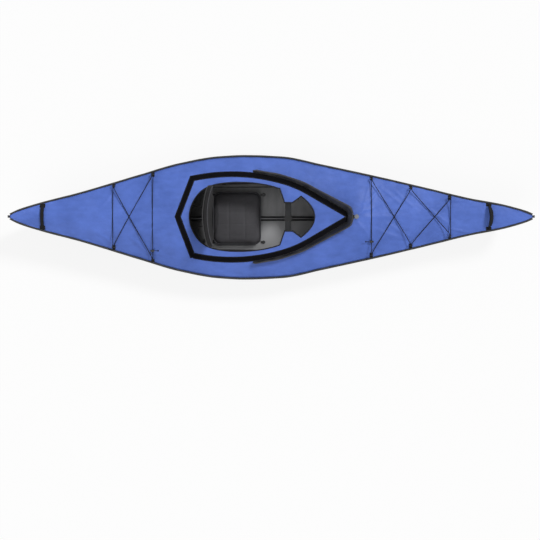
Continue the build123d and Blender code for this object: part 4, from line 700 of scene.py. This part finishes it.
def mesh_of(bm, name):
    """Mesh from a bmesh, which is freed."""
    mesh = bpy.data.meshes.new(name)
    bm.to_mesh(mesh)
    bm.free()
    return mesh


def cad_mesh(node):
    """Merged copy of a CAD node's mesh."""
    bm = bmesh.new()
    bm.from_mesh(NODES[node].data)
    bmesh.ops.remove_doubles(bm, verts=bm.verts, dist=1e-5)
    return bm


def evaluated_mesh(piece):
    """Mesh of what an object's modifiers or curve make."""
    bpy.context.view_layer.update()
    return bpy.data.meshes.new_from_object(piece.evaluated_get(bpy.context.evaluated_depsgraph_get()))


def placed(piece, finish, body, replaced=()):
    """Gives a piece its finish, lets it ride on a body and stand for CAD nodes."""
    piece.data.materials.clear()
    piece.data.materials.append(material(finish))
    if body:
        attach(piece, body)
    if replaced:
        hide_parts(*replaced)
    return piece


def smooth_shaded(piece):
    piece.data.polygons.foreach_set("use_smooth", [True] * len(piece.data.polygons))
    return piece


def kept(bm, name, finish, body, replaced=()):
    """Turns a bmesh into a smooth piece in its place."""
    return placed(smooth_shaded(linked(name, mesh_of(bm, name))), finish, body, replaced)


def cloth_grid(across, along, place, close=0.0, outward=None):
    """Grid of quads laid by a function of its two shares, closed where its edges meet."""
    bm = bmesh.new()
    bmesh.ops.create_grid(bm, x_segments=across, y_segments=along, size=1.0)
    for vert in bm.verts:
        vert.co = place((vert.co.x + 1) / 2, (vert.co.y + 1) / 2)
    if close:
        bmesh.ops.remove_doubles(bm, verts=bm.verts, dist=close)
    if outward is None:
        bmesh.ops.recalc_face_normals(bm, faces=bm.faces)
    else:
        bm.normal_update()
        lean = sum(face.normal.dot(outward(face.calc_center_median())) for face in bm.faces)
        if lean < 0:
            bmesh.ops.reverse_faces(bm, faces=bm.faces)
    return bm


def ends_closed(bm):
    """The bmesh with its open ends filled."""
    loops = [edge for edge in bm.edges if edge.is_boundary]
    bmesh.ops.holes_fill(bm, edges=loops, sides=0)
    bmesh.ops.recalc_face_normals(bm, faces=bm.faces)
    return bm


def joined(pieces):
    """One bmesh from several."""
    whole = pieces[0]
    for other in pieces[1:]:
        mesh = mesh_of(other, "part")
        whole.from_mesh(mesh)
        bpy.data.meshes.remove(mesh)
    return whole


def tube_loft(points, section, sides, closed=False):
    """Tube through points, with a radius or a function that gives it, upright sides and closed ends."""
    count = len(points)
    rings = count + 1 if closed else count

    def place(u, v):
        i = round(u * (rings - 1)) % count
        before, after = neighbours(points, i, closed)
        way = (after - before).normalized()
        side = way.cross(Vector((0, 0, 1)))
        side = side.normalized() if side.length > 1e-4 else Vector((0, 1, 0))
        up = side.cross(way).normalized()
        radius = section(i, v) if callable(section) else section
        turn = 2 * pi * v
        return points[i] + side * (radius * cos(turn)) + up * (radius * sin(turn))

    bm = cloth_grid(rings - 1, sides, place, close=1e-6)
    return bm if closed else ends_closed(bm)


def with_modifier(piece, kind, **settings):
    modifier = piece.modifiers.new(kind.title(), kind)
    for key, value in settings.items():
        setattr(modifier, key, value)
    return modifier


def subdivided(piece, levels):
    if levels:
        with_modifier(piece, "SUBSURF", levels=levels, render_levels=levels)
    return piece


def softened(node, name, finish, body, bevel=0.0, levels=1):
    """Merged copy of a plain CAD solid with its edges rounded, which stands for it."""
    bm = cad_mesh(node)
    bmesh.ops.dissolve_limit(bm, angle_limit=0.02, verts=bm.verts, edges=bm.edges)
    if bevel:
        bm.normal_update()
        sharp = [e for e in bm.edges if len(e.link_faces) == 2 and e.calc_face_angle(0.0) > 0.6]
        bmesh.ops.bevel(
            bm, geom=sharp, offset=bevel, offset_type="OFFSET", segments=2, profile=0.5, affect="EDGES",
            clamp_overlap=True, material=-1,
        )
    return subdivided(kept(bm, name, finish, body, [node]), levels)


def deck_strip(outline, inner, outer, section):
    """Strip on the deck between two sideways moves of a closed outline, with that section."""
    near, far = moved_out(outline, inner), moved_out(outline, outer)
    count, steps = len(outline), len(section)

    def place(u, v):
        i = round(u * count) % count
        share, rise = section[round(v * steps) % steps]
        x = near[i][0] + (far[i][0] - near[i][0]) * share
        y = near[i][1] + (far[i][1] - near[i][1]) * share
        return Vector((x, y, cloth_z(x, y) + rise))

    return cloth_grid(count, steps, place, close=1e-6)


def band_strip(inner, outer, thickness, lift):
    """Flat tape along the skirt band."""
    return deck_strip(BAND, inner, outer, [(share, lift + rise * thickness) for share, rise in BAND_SECTION])


# Settings of the pieces


def color_setting(name, description, default):
    return bpy.props.FloatVectorProperty(
        name=name, description=description, subtype="COLOR", size=3, default=default, min=0.0, max=1.0
    )


def length_setting(name, description, default):
    return bpy.props.FloatProperty(name=name, description=description, default=default, unit="LENGTH")


def share_setting(name, description, default, most):
    return bpy.props.FloatProperty(name=name, description=description, default=default, min=0.0, max=most)


class DeckSettings(bpy.types.PropertyGroup):
    color: color_setting("Deck colour", "Colour of the deck cloth", (0.084, 0.163, 0.565))
    wrinkles: share_setting("Wrinkles", "Depth of the deck's wrinkles, as a share", 1.0, 3.0)
    thickness: length_setting("Cloth", "Thickness of the deck cloth", 0.0018)


class HullSettings(bpy.types.PropertyGroup):
    color: color_setting("Hull colour", "Colour of the hull sheet", (0.045, 0.045, 0.047))
    wrinkles: share_setting("Wrinkles", "Depth of the hull's wrinkles, as a share", 1.0, 3.0)
    thickness: length_setting("Sheet", "Thickness of the hull sheet", 0.0024)
    tape: length_setting("Seam tape", "Width of the tape over the panel seam", 0.018)


class TrimSettings(bpy.types.PropertyGroup):
    piping: length_setting("Piping", "Radius of the gunwale piping", PIPING_RADIUS)
    band: length_setting("Skirt band", "Width of the band round the cockpit", 0.044)
    wall: length_setting("Deflector wall", "Thickness of the spray deflector", 0.005)
    hem: length_setting("Hem", "Width of the binding of the cockpit's edge", 0.009)


class SeatSettings(bpy.types.PropertyGroup):
    color: color_setting("Seat colour", "Colour of the seat cloth", (0.052, 0.051, 0.056))
    pressure: share_setting("Fill", "Pressure that plumps the padding", 4.0, 20.0)
    cap: length_setting("Swell", "Furthest that a point of the padding moves", 0.007)


class CordSettings(bpy.types.PropertyGroup):
    radius: length_setting("Cord", "Radius of the deck lacing", 0.003)


class StageSettings(bpy.types.PropertyGroup):
    floor: color_setting("Floor colour", "Colour of the floor", (0.95, 0.95, 0.95))
    camera_height: length_setting("Camera height", "Height of the camera over the floor", 9.3)
    view_width: length_setting("View width", "Width that the camera sees at the gunwale", 4.034)


class KayakSettings(bpy.types.PropertyGroup):
    deck: bpy.props.PointerProperty(name="Deck", description="Deck cloth", type=DeckSettings)
    hull: bpy.props.PointerProperty(name="Hull", description="Hull sheet", type=HullSettings)
    trim: bpy.props.PointerProperty(name="Trim", description="Bands and piping", type=TrimSettings)
    seat: bpy.props.PointerProperty(name="Seat", description="Padding", type=SeatSettings)
    cord: bpy.props.PointerProperty(name="Cords", description="Lacing", type=CordSettings)
    stage: bpy.props.PointerProperty(name="Stage", description="Floor, light and camera", type=StageSettings)


class KayakStage(bpy.types.Operator):
    """Pale floor, soft studio light and the camera above the kayak"""

    bl_idname = "kayak.stage"
    bl_label = "Stage"

    def execute(self, context):
        settings = context.scene.kayak.stage
        bm = bmesh.new()
        bmesh.ops.create_grid(bm, x_segments=1, y_segments=1, size=30.0)
        floor = linked("floor", mesh_of(bm, "floor"))
        floor.location.z = -0.0008
        finish = Finish("floor_paint", settings.floor, 0.9, Specular_IOR_Level=0.1)
        paint = Value(finish, finish.shader.outputs[0])
        glow = finish.node("ShaderNodeEmission", {}, WHITE)
        finish.bright_to(("Camera", "Glossy"), paint, glow, 0.86, "Material Output")
        floor.data.materials.append(finish.material)

        world = bpy.data.worlds.new("studio")
        context.scene.world = world
        world.use_nodes = True
        sky = Nodes(world.node_tree)
        background = sky.tree.nodes["Background"]
        background.inputs["Color"].default_value = WHITE
        background.inputs["Strength"].default_value = 0.3
        light = Value(sky, background.outputs[0])
        backdrop = sky.node("ShaderNodeBackground", {}, WHITE)
        sky.bright_to(("Camera", "Glossy", "Transmission"), light, backdrop, 1.0, "World Output")
        for name, place, spread, strength in (
            ("key_light", (2.6, 2.2, 3.4), 0.22, 1.9),
            ("fill_light", (-1.8, -2.6, 3.6), 0.9, 0.75),
        ):
            lamp = bpy.data.lights.new(name, "SUN")
            lamp.angle = spread
            lamp.energy = strength
            light = linked(name, lamp)
            light.location = place
            light.rotation_euler = Vector(place).to_track_quat("Z", "Y").to_euler()

        gunwale = 0.3
        camera = bpy.data.cameras.new("camera")
        camera.sensor_width = 36.0
        camera.lens = camera.sensor_width * (settings.camera_height - gunwale) / settings.view_width
        viewer = linked("camera", camera)
        viewer.location = (-0.009, -0.396, settings.camera_height)
        context.scene.camera = viewer
        context.scene.view_settings.view_transform = "Standard"
        return {"FINISHED"}


class KayakDeck(bpy.types.Operator):
    """Blue deck cloth with the cockpit's keyhole cut in it"""

    bl_idname = "kayak.deck"
    bl_label = "Deck"

    def execute(self, context):
        settings = context.scene.kayak.deck

        def in_cockpit(vert):
            return COCKPIT_START < vert.co.x < COCKPIT_END and inside(COCKPIT, vert.co.x, vert.co.y)

        def place(u, v):
            x = SKIN_END * (2 * u - 1)
            return Vector((x, skin_half(x) * (2 * v - 1), 0))

        bm = cloth_grid(430, 84, place, outward=lambda centre: Vector((0, 0, 1)))
        held = {v.index for v in bm.verts if in_cockpit(v)}
        gone = [f for f in bm.faces if all(v.index in held for v in f.verts)]
        bmesh.ops.delete(bm, geom=gone, context="FACES")
        for vert in bm.verts:
            if in_cockpit(vert):
                vert.co.x, vert.co.y = nearest_on(COCKPIT, vert.co.x, vert.co.y)[1:]
            vert.co.z = cloth_z(vert.co.x, vert.co.y, settings.wrinkles)
        piece = kept(bm, "deck_cloth", "deck", "hull", ["deck_skin"])
        with_modifier(piece, "SOLIDIFY", thickness=settings.thickness, offset=-1.0)
        return {"FINISHED"}


class KayakHull(bpy.types.Operator):
    """Grey hull sheet with its wrinkles, and the tape over its panel seams"""

    bl_idname = "kayak.hull"
    bl_label = "Hull"

    def execute(self, context):
        settings = context.scene.kayak.hull
        depth = settings.wrinkles

        def outward(centre):
            return Vector((0, centre.y, centre.z - sheer_z(centre.x) + 0.02))

        def place(u, v):
            x = SKIN_END * (2 * u - 1)
            point = hull_point(x, pi * v)
            side = 1 if v < 0.5 else -1
            out = outward(point)
            out = out.normalized() if out.length > 1e-6 else Vector((0, 0, -1))
            return point + out * hull_relief(x, point.z, side, depth)

        bm = cloth_grid(430, 96, place, outward=outward)
        piece = kept(bm, "hull_sheet", "hull", "hull", ["hull_skin"])
        with_modifier(piece, "SOLIDIFY", thickness=settings.thickness, offset=-1.0)

        tapes = []
        start, end = SEAM_LINE[0][0], SEAM_LINE[-1][0]
        for side in (1, -1):

            def lay(u, v, side=side):
                x = start + (end - start) * u
                slope = (seam_height(x + 0.01) - seam_height(x - 0.01)) / 0.02
                share, rise = SEAM_SECTION[round(v * 4)]
                z = seam_height(x) + share * settings.tape / 2 * sqrt(1 + slope * slope)
                point = hull_point(x, hull_angle(x, z))
                point += outward(point).normalized() * (hull_relief(x, point.z, side, depth) + rise)
                return Vector((point.x, side * point.y, point.z))

            tapes.append(cloth_grid(230, 4, lay, outward=outward))
        kept(joined(tapes), "hull_seam_tape", "hull", "hull")
        return {"FINISHED"}


class KayakPiping(bpy.types.Operator):
    """Bound piping over the seam of deck and hull, slightly scalloped by its stitches"""

    bl_idname = "kayak.piping"
    bl_label = "Gunwale piping"

    def execute(self, context):
        radius = context.scene.kayak.trim.piping
        rolls = []
        for side in (1, -1):
            points = []
            for i in range(361):
                x = SKIN_END * (2 * i / 360 - 1)
                points.append(Vector((x, side * (outer_half(x) - radius), sheer_z(x) + 0.001)))

            def section(i, v, side=side):
                pull = 0.0007 * ripple(i * 0.11, side * 2.0, 0, 1.0, 4.4)
                return radius + pull + 0.0004 * cos(4 * pi * v)

            rolls.append(tube_loft(points, section, 14))
        kept(joined(rolls), "gunwale_binding", "piping", "hull", ["gunwale_piping"])
        return {"FINISHED"}


class KayakBand(bpy.types.Operator):
    """Pointed hook-and-loop band round the cockpit, and its two rows of stitches"""

    bl_idname = "kayak.band"
    bl_label = "Skirt band"

    def execute(self, context):
        width = context.scene.kayak.trim.band
        bm = band_strip(0.0, width, 0.0024, 0.0003)
        kept(bm, "loop_band", "band", "hull", ["skirt_band"])
        rows = [band_strip(at, at + 0.0012, 0.0006, 0.0025) for at in (0.0035, width - 0.0047)]
        kept(joined(rows), "loop_band_stitches", "stitch", "hull")
        return {"FINISHED"}


class KayakHem(bpy.types.Operator):
    """Binding folded over the edge of the cockpit opening"""

    bl_idname = "kayak.hem"
    bl_label = "Cockpit hem"

    def execute(self, context):
        width, overlap = context.scene.kayak.trim.hem, 0.0022
        bm = deck_strip(COCKPIT, overlap, overlap - width, HEM_SECTION)
        kept(bm, "cockpit_binding", "binding", "hull", ["cockpit_hem"])
        return {"FINISHED"}


class KayakDeflector(bpy.types.Operator):
    """Raised wall that leans out ahead of the cockpit, bound along its top edge"""

    bl_idname = "kayak.deflector"
    bl_label = "Spray deflector"

    def execute(self, context):
        wall = context.scene.kayak.trim.wall
        half = [p for p in moved_out(BAND_HALF, WALL_FOOT, closed=False) if p[0] > WALL_START]
        half[-1] = (half[-1][0], 0.0)
        foot = half + [(x, -y) for x, y in reversed(half[:-1])]
        out = moved_out(foot, 1.0, closed=False)
        count, steps = len(foot), len(WALL_SECTION)
        lean = tan(radians(WALL_LEAN))
        low, high = WALL_HEIGHTS

        def place(u, v):
            i = round(u * (count - 1))
            x, y = foot[i]
            nx, ny = out[i][0] - x, out[i][1] - y
            length = hypot(nx, ny)
            share = min(1.0, max(0.0, (x - WALL_START) / (WALL_TIP - WALL_START)))
            start = min(1.0, (min(i, count - 1 - i) + 1.2) / 3)
            height = (low + (high - low) * share * share) * start**0.6
            across, up = WALL_SECTION[round(v * steps) % steps]
            wave = 0.0018 * sin(x * 34) * up * (1 - share)
            miter = min(length, 1.6) if abs(y) < 0.03 else 1.0
            side = (lean * height * up + across * wall + wave) * miter / length
            return Vector((x + nx * side, y + ny * side, cloth_z(x, y) + 0.0028 + height * up))

        bm = ends_closed(cloth_grid(count - 1, steps, place, close=1e-6))
        subdivided(kept(bm, "deflector_wall", "wall", "hull", ["spray_deflector"]), 1)

        lift = Vector((0, 0, 0.0004))
        crest = [place(i / (count - 1), WALL_CREST / steps) + lift for i in range(count)]
        kept(tube_loft(crest, 0.0021, 8), "deflector_binding", "edge", "hull")

        patch = bmesh.new()
        bmesh.ops.create_circle(patch, cap_ends=True, segments=24, radius=0.017)
        bmesh.ops.inset_region(patch, faces=patch.faces[:], thickness=0.004, depth=0.0016)
        for vert in patch.verts:
            vert.co.x += 0.634
            vert.co.z += deck_z(vert.co.x, vert.co.y) + 0.0026
        kept(patch, "tip_patch", "patch", "hull")
        return {"FINISHED"}


def baked(body):
    """The object with what its modifiers make as its own mesh."""
    made = evaluated_mesh(body)
    body.modifiers.clear()
    old = body.data
    body.data = made
    bpy.data.meshes.remove(old)
    return body


def voxel_copy(bm, name):
    """Object from a closed bmesh, remeshed to even faces."""
    body = linked(name, mesh_of(bm, name))
    with_modifier(body, "REMESH", mode="VOXEL", voxel_size=0.006)
    return baked(body)


def plumped(body, pressure, cap, frames=18):
    """Cloth blown up from within, each point held to the cap."""
    rest = [v.co.copy() for v in body.data.vertices]
    cloth = with_modifier(body, "CLOTH")
    cloth.settings.use_pressure = True
    cloth.settings.uniform_pressure_force = pressure
    cloth.settings.quality = 5
    cloth.settings.mass = 0.25
    cloth.settings.effector_weights.gravity = 0.0
    scene = bpy.context.scene
    for step in range(1, frames + 1):
        scene.frame_set(step)
    baked(body)
    scene.frame_set(1)
    for vert, start in zip(body.data.vertices, rest):
        moved = vert.co - start
        if moved.length > cap:
            vert.co = start + moved * (cap / moved.length)
    return body


def finished_padding(body, finish, riding, replaced):
    placed(smooth_shaded(body), finish, riding, [replaced])
    return subdivided(body, 1)


def round_square(half_x, half_y, corner, count):
    """Outline of a rectangle with round corners, about its centre."""
    points = []
    for sx, sy, start in ((1, 1, 0.0), (-1, 1, 0.5), (-1, -1, 1.0), (1, -1, 1.5)):
        for i in range(count + 1):
            turn = pi * (start + 0.5 * i / count)
            x = sx * (half_x - corner) + corner * cos(turn)
            points.append((x, sy * (half_y - corner) + corner * sin(turn)))
    return points


def groove(place, lines, width):
    """Depth from 0 to 1 of sewn channels at those lines."""
    return sum(exp(-(((place - line) / width) ** 2)) for line in lines)


class KayakSeat(bpy.types.Operator):
    """Padded seat cushion with sewn channels and a bound edge"""

    bl_idname = "kayak.seat"
    bl_label = "Seat cushion"

    def execute(self, context):
        settings = context.scene.kayak.seat
        low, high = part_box("seat_cushion")
        centre = (low + high) / 2
        half_x, half_y = (high.x - low.x) / 2, (high.y - low.y) / 2
        outline = round_square(half_x - 0.006, half_y - 0.006, 0.052, 9)
        count = len(outline)
        base, top = low.z + 0.001, high.z - 0.012

        def place(u, v):
            i = round(u * count) % count
            share, rise, crown = CUSHION_LEVELS[round(v * (len(CUSHION_LEVELS) - 1))]
            x, y = outline[i]
            share *= 1 - 0.012 * (1 - abs(2 * ((i / count * 4) % 1) - 1))
            z = base + (top - base) * rise + 0.005 * crown
            return Vector((centre.x + x * share, centre.y + y * share, z))

        bm = cloth_grid(count, len(CUSHION_LEVELS) - 1, place, close=1e-5)
        body = voxel_copy(bm, "seat_padding")
        plumped(body, settings.pressure, settings.cap)
        for vert in body.data.vertices:
            x, y, z = vert.co.x - centre.x, vert.co.y, vert.co.z
            if z > top - 0.012:
                channels = groove(x, (-0.062, 0.062), 0.006)
                channels += 0.45 * groove(y, (-0.13, -0.045, 0.045, 0.13), 0.005)
                inner = min(1.0, max(0.0, (min(half_x - abs(x), half_y - abs(y)) - 0.02) / 0.03))
                z -= 0.0032 * channels * inner
            vert.co.z = max(min(z, high.z + 0.004), low.z + 0.0004)
        finished_padding(body, "seat", "hull", "seat_cushion")
        path = [Vector((centre.x + x * 0.985, y * 0.985, top - 0.003)) for x, y in outline]
        kept(tube_loft(path, 0.0042, 10, closed=True), "seat_edge_binding", "edge", "hull")
        return {"FINISHED"}


class KayakBackrest(bpy.types.Operator):
    """Curved backrest pad with a bound edge, which leans with the backrest"""

    bl_idname = "kayak.backrest"
    bl_label = "Backrest pad"

    def execute(self, context):
        settings = context.scene.kayak.seat
        bm = cad_mesh("backrest_pad")
        bmesh.ops.recalc_face_normals(bm, faces=bm.faces)
        middle = sum((v.co for v in bm.verts), Vector()) / len(bm.verts)
        for vert in bm.verts:
            vert.co = middle + (vert.co - middle) * 0.985
        body = voxel_copy(bm, "backrest_padding")
        plumped(body, settings.pressure, settings.cap * 0.7)
        low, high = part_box("backrest_pad")
        for vert in body.data.vertices:
            facing = min(1.0, max(0.0, (vert.co.x + 0.5 - 0.7 * vert.co.y**2) / 0.02))
            vert.co.x -= 0.003 * groove(vert.co.z, (0.285, 0.395), 0.006) * facing
            vert.co.z = min(vert.co.z, high.z + 0.003)
        finished_padding(body, "back", "backrest", "backrest_pad")

        # The pad's top edge, bent about an upright line and leaned about the hinge
        hinge_x, hinge_z, lean = -0.476, 0.116, radians(-2.5)
        half, top, bend, bend_x = 0.219, 0.4955, 0.654, 0.202
        corner, corner_start = 0.062, 0.165
        edge = []
        for i in range(61):
            y = half * (2 * i / 60 - 1)
            drop = max(0.0, abs(y) - corner_start)
            rise = top - (corner - sqrt(max(0.0, corner**2 - drop**2))) - hinge_z
            out = bend_x - sqrt(bend**2 - y * y) - hinge_x
            x = hinge_x + out * cos(lean) + rise * sin(lean)
            edge.append(Vector((x, y, hinge_z - out * sin(lean) + rise * cos(lean))))
        kept(tube_loft(edge, 0.0042, 10), "backrest_edge_binding", "edge", "backrest")
        return {"FINISHED"}


def ring_legs(stop):
    """Route round a ring's upper wire: in through the ring, out over it."""
    x, side, way = stop
    y = outer_half(x) - RING_INSET
    gap = RING_WIRE + CORD_RADIUS + 0.0005
    wire = deck_z(x, y) + RING_LIFT + RING_RADIUS
    inboard, outboard = side * (y - LEG_REACH), side * (y + gap)
    x_in, x_out = x + way * LEG_SHIFT, x - way * LEG_SHIFT
    return [
        Vector((x_in, inboard, wire - gap)), Vector((x_in, outboard, wire - gap)),
        Vector((x_out, outboard, wire + gap)), Vector((x_out, inboard, wire + gap)),
    ]


def over_deck(start, end, lift):
    """Points of a stretch across the deck."""
    points = []
    for share in (0.24, 0.5, 0.76):
        x = start.x + (end.x - start.x) * share
        y = start.y + (end.y - start.y) * share
        points.append(Vector((x, y, deck_z(x, y) + 0.0065 + (lift if share == 0.5 else 0.005))))
    return points


def lacing_route(stops, crossing, distance):
    """Points of a lacing cord, which starts and ends in its lock on the first stretch."""
    legs = [ring_legs(stop) for stop in stops]
    corners = []
    for i, ring in enumerate(legs):
        if i:
            corners += over_deck(legs[i - 1][-1], ring[0], 0.0056 if i in crossing else 0.0)
        corners += ring
    stretch = over_deck(corners[-1], corners[0], 0.0)
    way = (stretch[0] - corners[-1]).normalized()
    lock = corners[-1] + way * distance
    return [lock + way * 0.0004] + stretch + corners + [lock - way * 0.0004]


def nurbs_cord(name, points, radius):
    """Cord along a smooth spline through its route."""
    data = bpy.data.curves.new(name, "CURVE")
    data.dimensions = "3D"
    spline = data.splines.new("NURBS")
    spline.points.add(len(points) - 1)
    for point, place in zip(spline.points, points):
        point.co = (*place, 1.0)
    spline.order_u = 3
    spline.use_endpoint_u = True
    spline.resolution_u = 6
    data.bevel_depth = radius
    data.bevel_resolution = 2
    data.use_fill_caps = True
    return linked(name, data)


class KayakLacing(bpy.types.Operator):
    """Elastic lacing through the deck rings, fore and aft, with its knotted tails"""

    bl_idname = "kayak.lacing"
    bl_label = "Deck lacing"

    def execute(self, context):
        radius = context.scene.kayak.cord.radius
        for name, stops, crossing, distance in (
            ("bow", BOW_STOPS, (4, 5), 0.084), ("stern", STERN_STOPS, (3,), 0.05),
        ):
            cord = nurbs_cord(f"{name}_lacing", lacing_route(stops, crossing, distance), radius)
            placed(cord, "cord", "hull", [f"{name}_bungee"])
            softened(f"{name}_cord_tail", f"{name}_tail", "cord", "hull")
        return {"FINISHED"}


def meshed(piece):
    """The curve piece as a mesh of the same name."""
    name, mesh = piece.name, evaluated_mesh(piece)
    bpy.data.objects.remove(piece)
    return linked(name, mesh)


class KayakBackCords(bpy.types.Operator):
    """Cords that hold the backrest up from behind"""

    bl_idname = "kayak.back_cords"
    bl_label = "Backrest cords"

    def execute(self, context):
        bm = cad_mesh("backrest_cords")
        long_edges = [edge for edge in bm.edges if edge.calc_length() > 0.03]
        bmesh.ops.subdivide_edges(bm, edges=long_edges, cuts=11, use_grid_fill=True)
        piece = kept(bm, "back_stays", "cord", None, ["backrest_cords"])
        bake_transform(piece)
        return {"FINISHED"}


class KayakLockSprings(bpy.types.Operator):
    """Coil springs of the cord locks"""

    bl_idname = "kayak.lock_springs"
    bl_label = "Lock springs"

    def execute(self, context):
        wire, turns, steps, travel = 0.0004, 5, 12, 0.003
        for end in ("bow", "stern"):
            node = f"{end}_lock_spring"
            low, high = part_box(node)
            centre = (low + high) / 2
            radius = (high.y - low.y) / 2 - wire
            pitch = (high.x - low.x - 2 * wire) / (turns * steps)
            route = []
            for i in range(turns * steps + 1):
                turn = 2 * pi * i / steps
                side = Vector((0, radius * cos(turn), radius * sin(turn)))
                route.append(Vector((low.x + wire + pitch * i, centre.y, centre.z)) + side)
            piece = meshed(nurbs_cord(f"{end}_lock_coil", route, wire))
            placed(piece, "steel", "hull", [node])
            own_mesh(piece)
        return {"FINISHED"}


class KayakTubes(bpy.types.Operator):
    """Air tubes along the inside of the hull"""

    bl_idname = "kayak.tubes"
    bl_label = "Air tubes"

    def execute(self, context):
        for side in ("left", "right"):
            softened(f"air_tube_{side}", f"air_bladder_{side}", "air", "hull", levels=2)
        return {"FINISHED"}


class KayakWebbing(bpy.types.Operator):
    """Carry handles, ring tabs and the straps of webbing"""

    bl_idname = "kayak.webbing"
    bl_label = "Webbing"

    def execute(self, context):
        for node, name, body, bevel, levels in (
            ("bow_handle", "bow_grip", "bow_handle", 0.0012, 1),
            ("bow_handle_feet", "bow_grip_feet", "hull", 0.0005, 0),
            ("stern_handle", "stern_grip", "hull", 0.0005, 0),
            ("bow_ring_tabs", "bow_tabs", "hull", 0.0003, 0),
            ("stern_ring_tabs", "stern_tabs", "hull", 0.0003, 0),
        ):
            softened(node, name, "webbing", body, bevel, levels)
        return {"FINISHED"}


class KayakFloor(bpy.types.Operator):
    """Foam floor panels with rounded edges"""

    bl_idname = "kayak.floor"
    bl_label = "Floor panels"

    def execute(self, context):
        for side in ("left", "right"):
            softened(f"floor_panel_{side}", f"floor_mat_{side}", "floor", "hull", 0.003, 0)
        return {"FINISHED"}


class KayakHardware(bpy.types.Operator):
    """Finishes of the tubes, ribs, clips, locks, valves and other rigid pieces"""

    bl_idname = "kayak.hardware"
    bl_label = "Hardware finishes"

    def execute(self, context):
        finishes = {
            "tube": ("keel_tube_aft", "keel_tube_mid", "keel_tube_fore", "keel_ferrules", "bow_frame",
                     "stern_frame", "footrest_bar"),
            "rib": ("aft_end_rib", "seat_rib", "thigh_rib", "foredeck_rib", "fore_end_rib"),
            "plastic": ("rib_clips", "seat_clips", "footrest_clamp", "bow_lock_body", "bow_lock_button",
                        "stern_lock_body", "stern_lock_button"),
            "valve": ("valve_base_left", "valve_base_right", "valve_cap_left", "valve_cap_right"),
            "board": ("seat_pan", "backrest_board"),
            "steel": ("backrest_hinge_pins", "backrest_anchors"),
            "ring": ("bow_rings", "stern_rings"),
            "foam": ("footrest_grips",),
            "strip": ("keel_strip", "bow_stem_band", "stern_stem_band"),
        }
        for finish, nodes in finishes.items():
            for node in nodes:
                piece = NODES[node]
                piece.data.materials.clear()
                piece.data.materials.append(material(finish))
        return {"FINISHED"}


class KayakPanel(bpy.types.Panel):
    """Lists what makes the kayak"""

    bl_idname = "KAYAK_PT_pieces"
    bl_label = "Folding kayak"
    bl_space_type = "VIEW_3D"
    bl_region_type = "UI"
    bl_category = "Kayak"

    def draw(self, context):
        settings = context.scene.kayak
        for key in ("deck", "hull", "trim", "seat", "cord", "stage"):
            group = getattr(settings, key)
            box = self.layout.box()
            for name in group.bl_rna.properties.keys():
                if name not in ("name", "rna_type"):
                    box.prop(group, name)
        for operator in OPERATORS:
            self.layout.operator(operator.bl_idname)


OPERATORS = (
    KayakStage, KayakDeck, KayakHull, KayakPiping, KayakBand, KayakHem, KayakDeflector, KayakLacing,
    KayakBackCords, KayakLockSprings, KayakTubes, KayakSeat, KayakBackrest, KayakWebbing, KayakFloor,
    KayakHardware,
)
CLASSES = (
    DeckSettings, HullSettings, TrimSettings, SeatSettings, CordSettings, StageSettings, KayakSettings,
    *OPERATORS, KayakPanel,
)


def register():
    for cls in CLASSES:
        bpy.utils.register_class(cls)
    bpy.types.Scene.kayak = bpy.props.PointerProperty(
        name="Kayak", description="Sizes and colours of the kayak", type=KayakSettings
    )


def unregister():
    del bpy.types.Scene.kayak
    for cls in reversed(CLASSES):
        bpy.utils.unregister_class(cls)


def main():
    register()
    for operator in OPERATORS:
        group, name = operator.bl_idname.split(".")
        getattr(getattr(bpy.ops, group), name)()


if __name__ == "__main__":
    main()
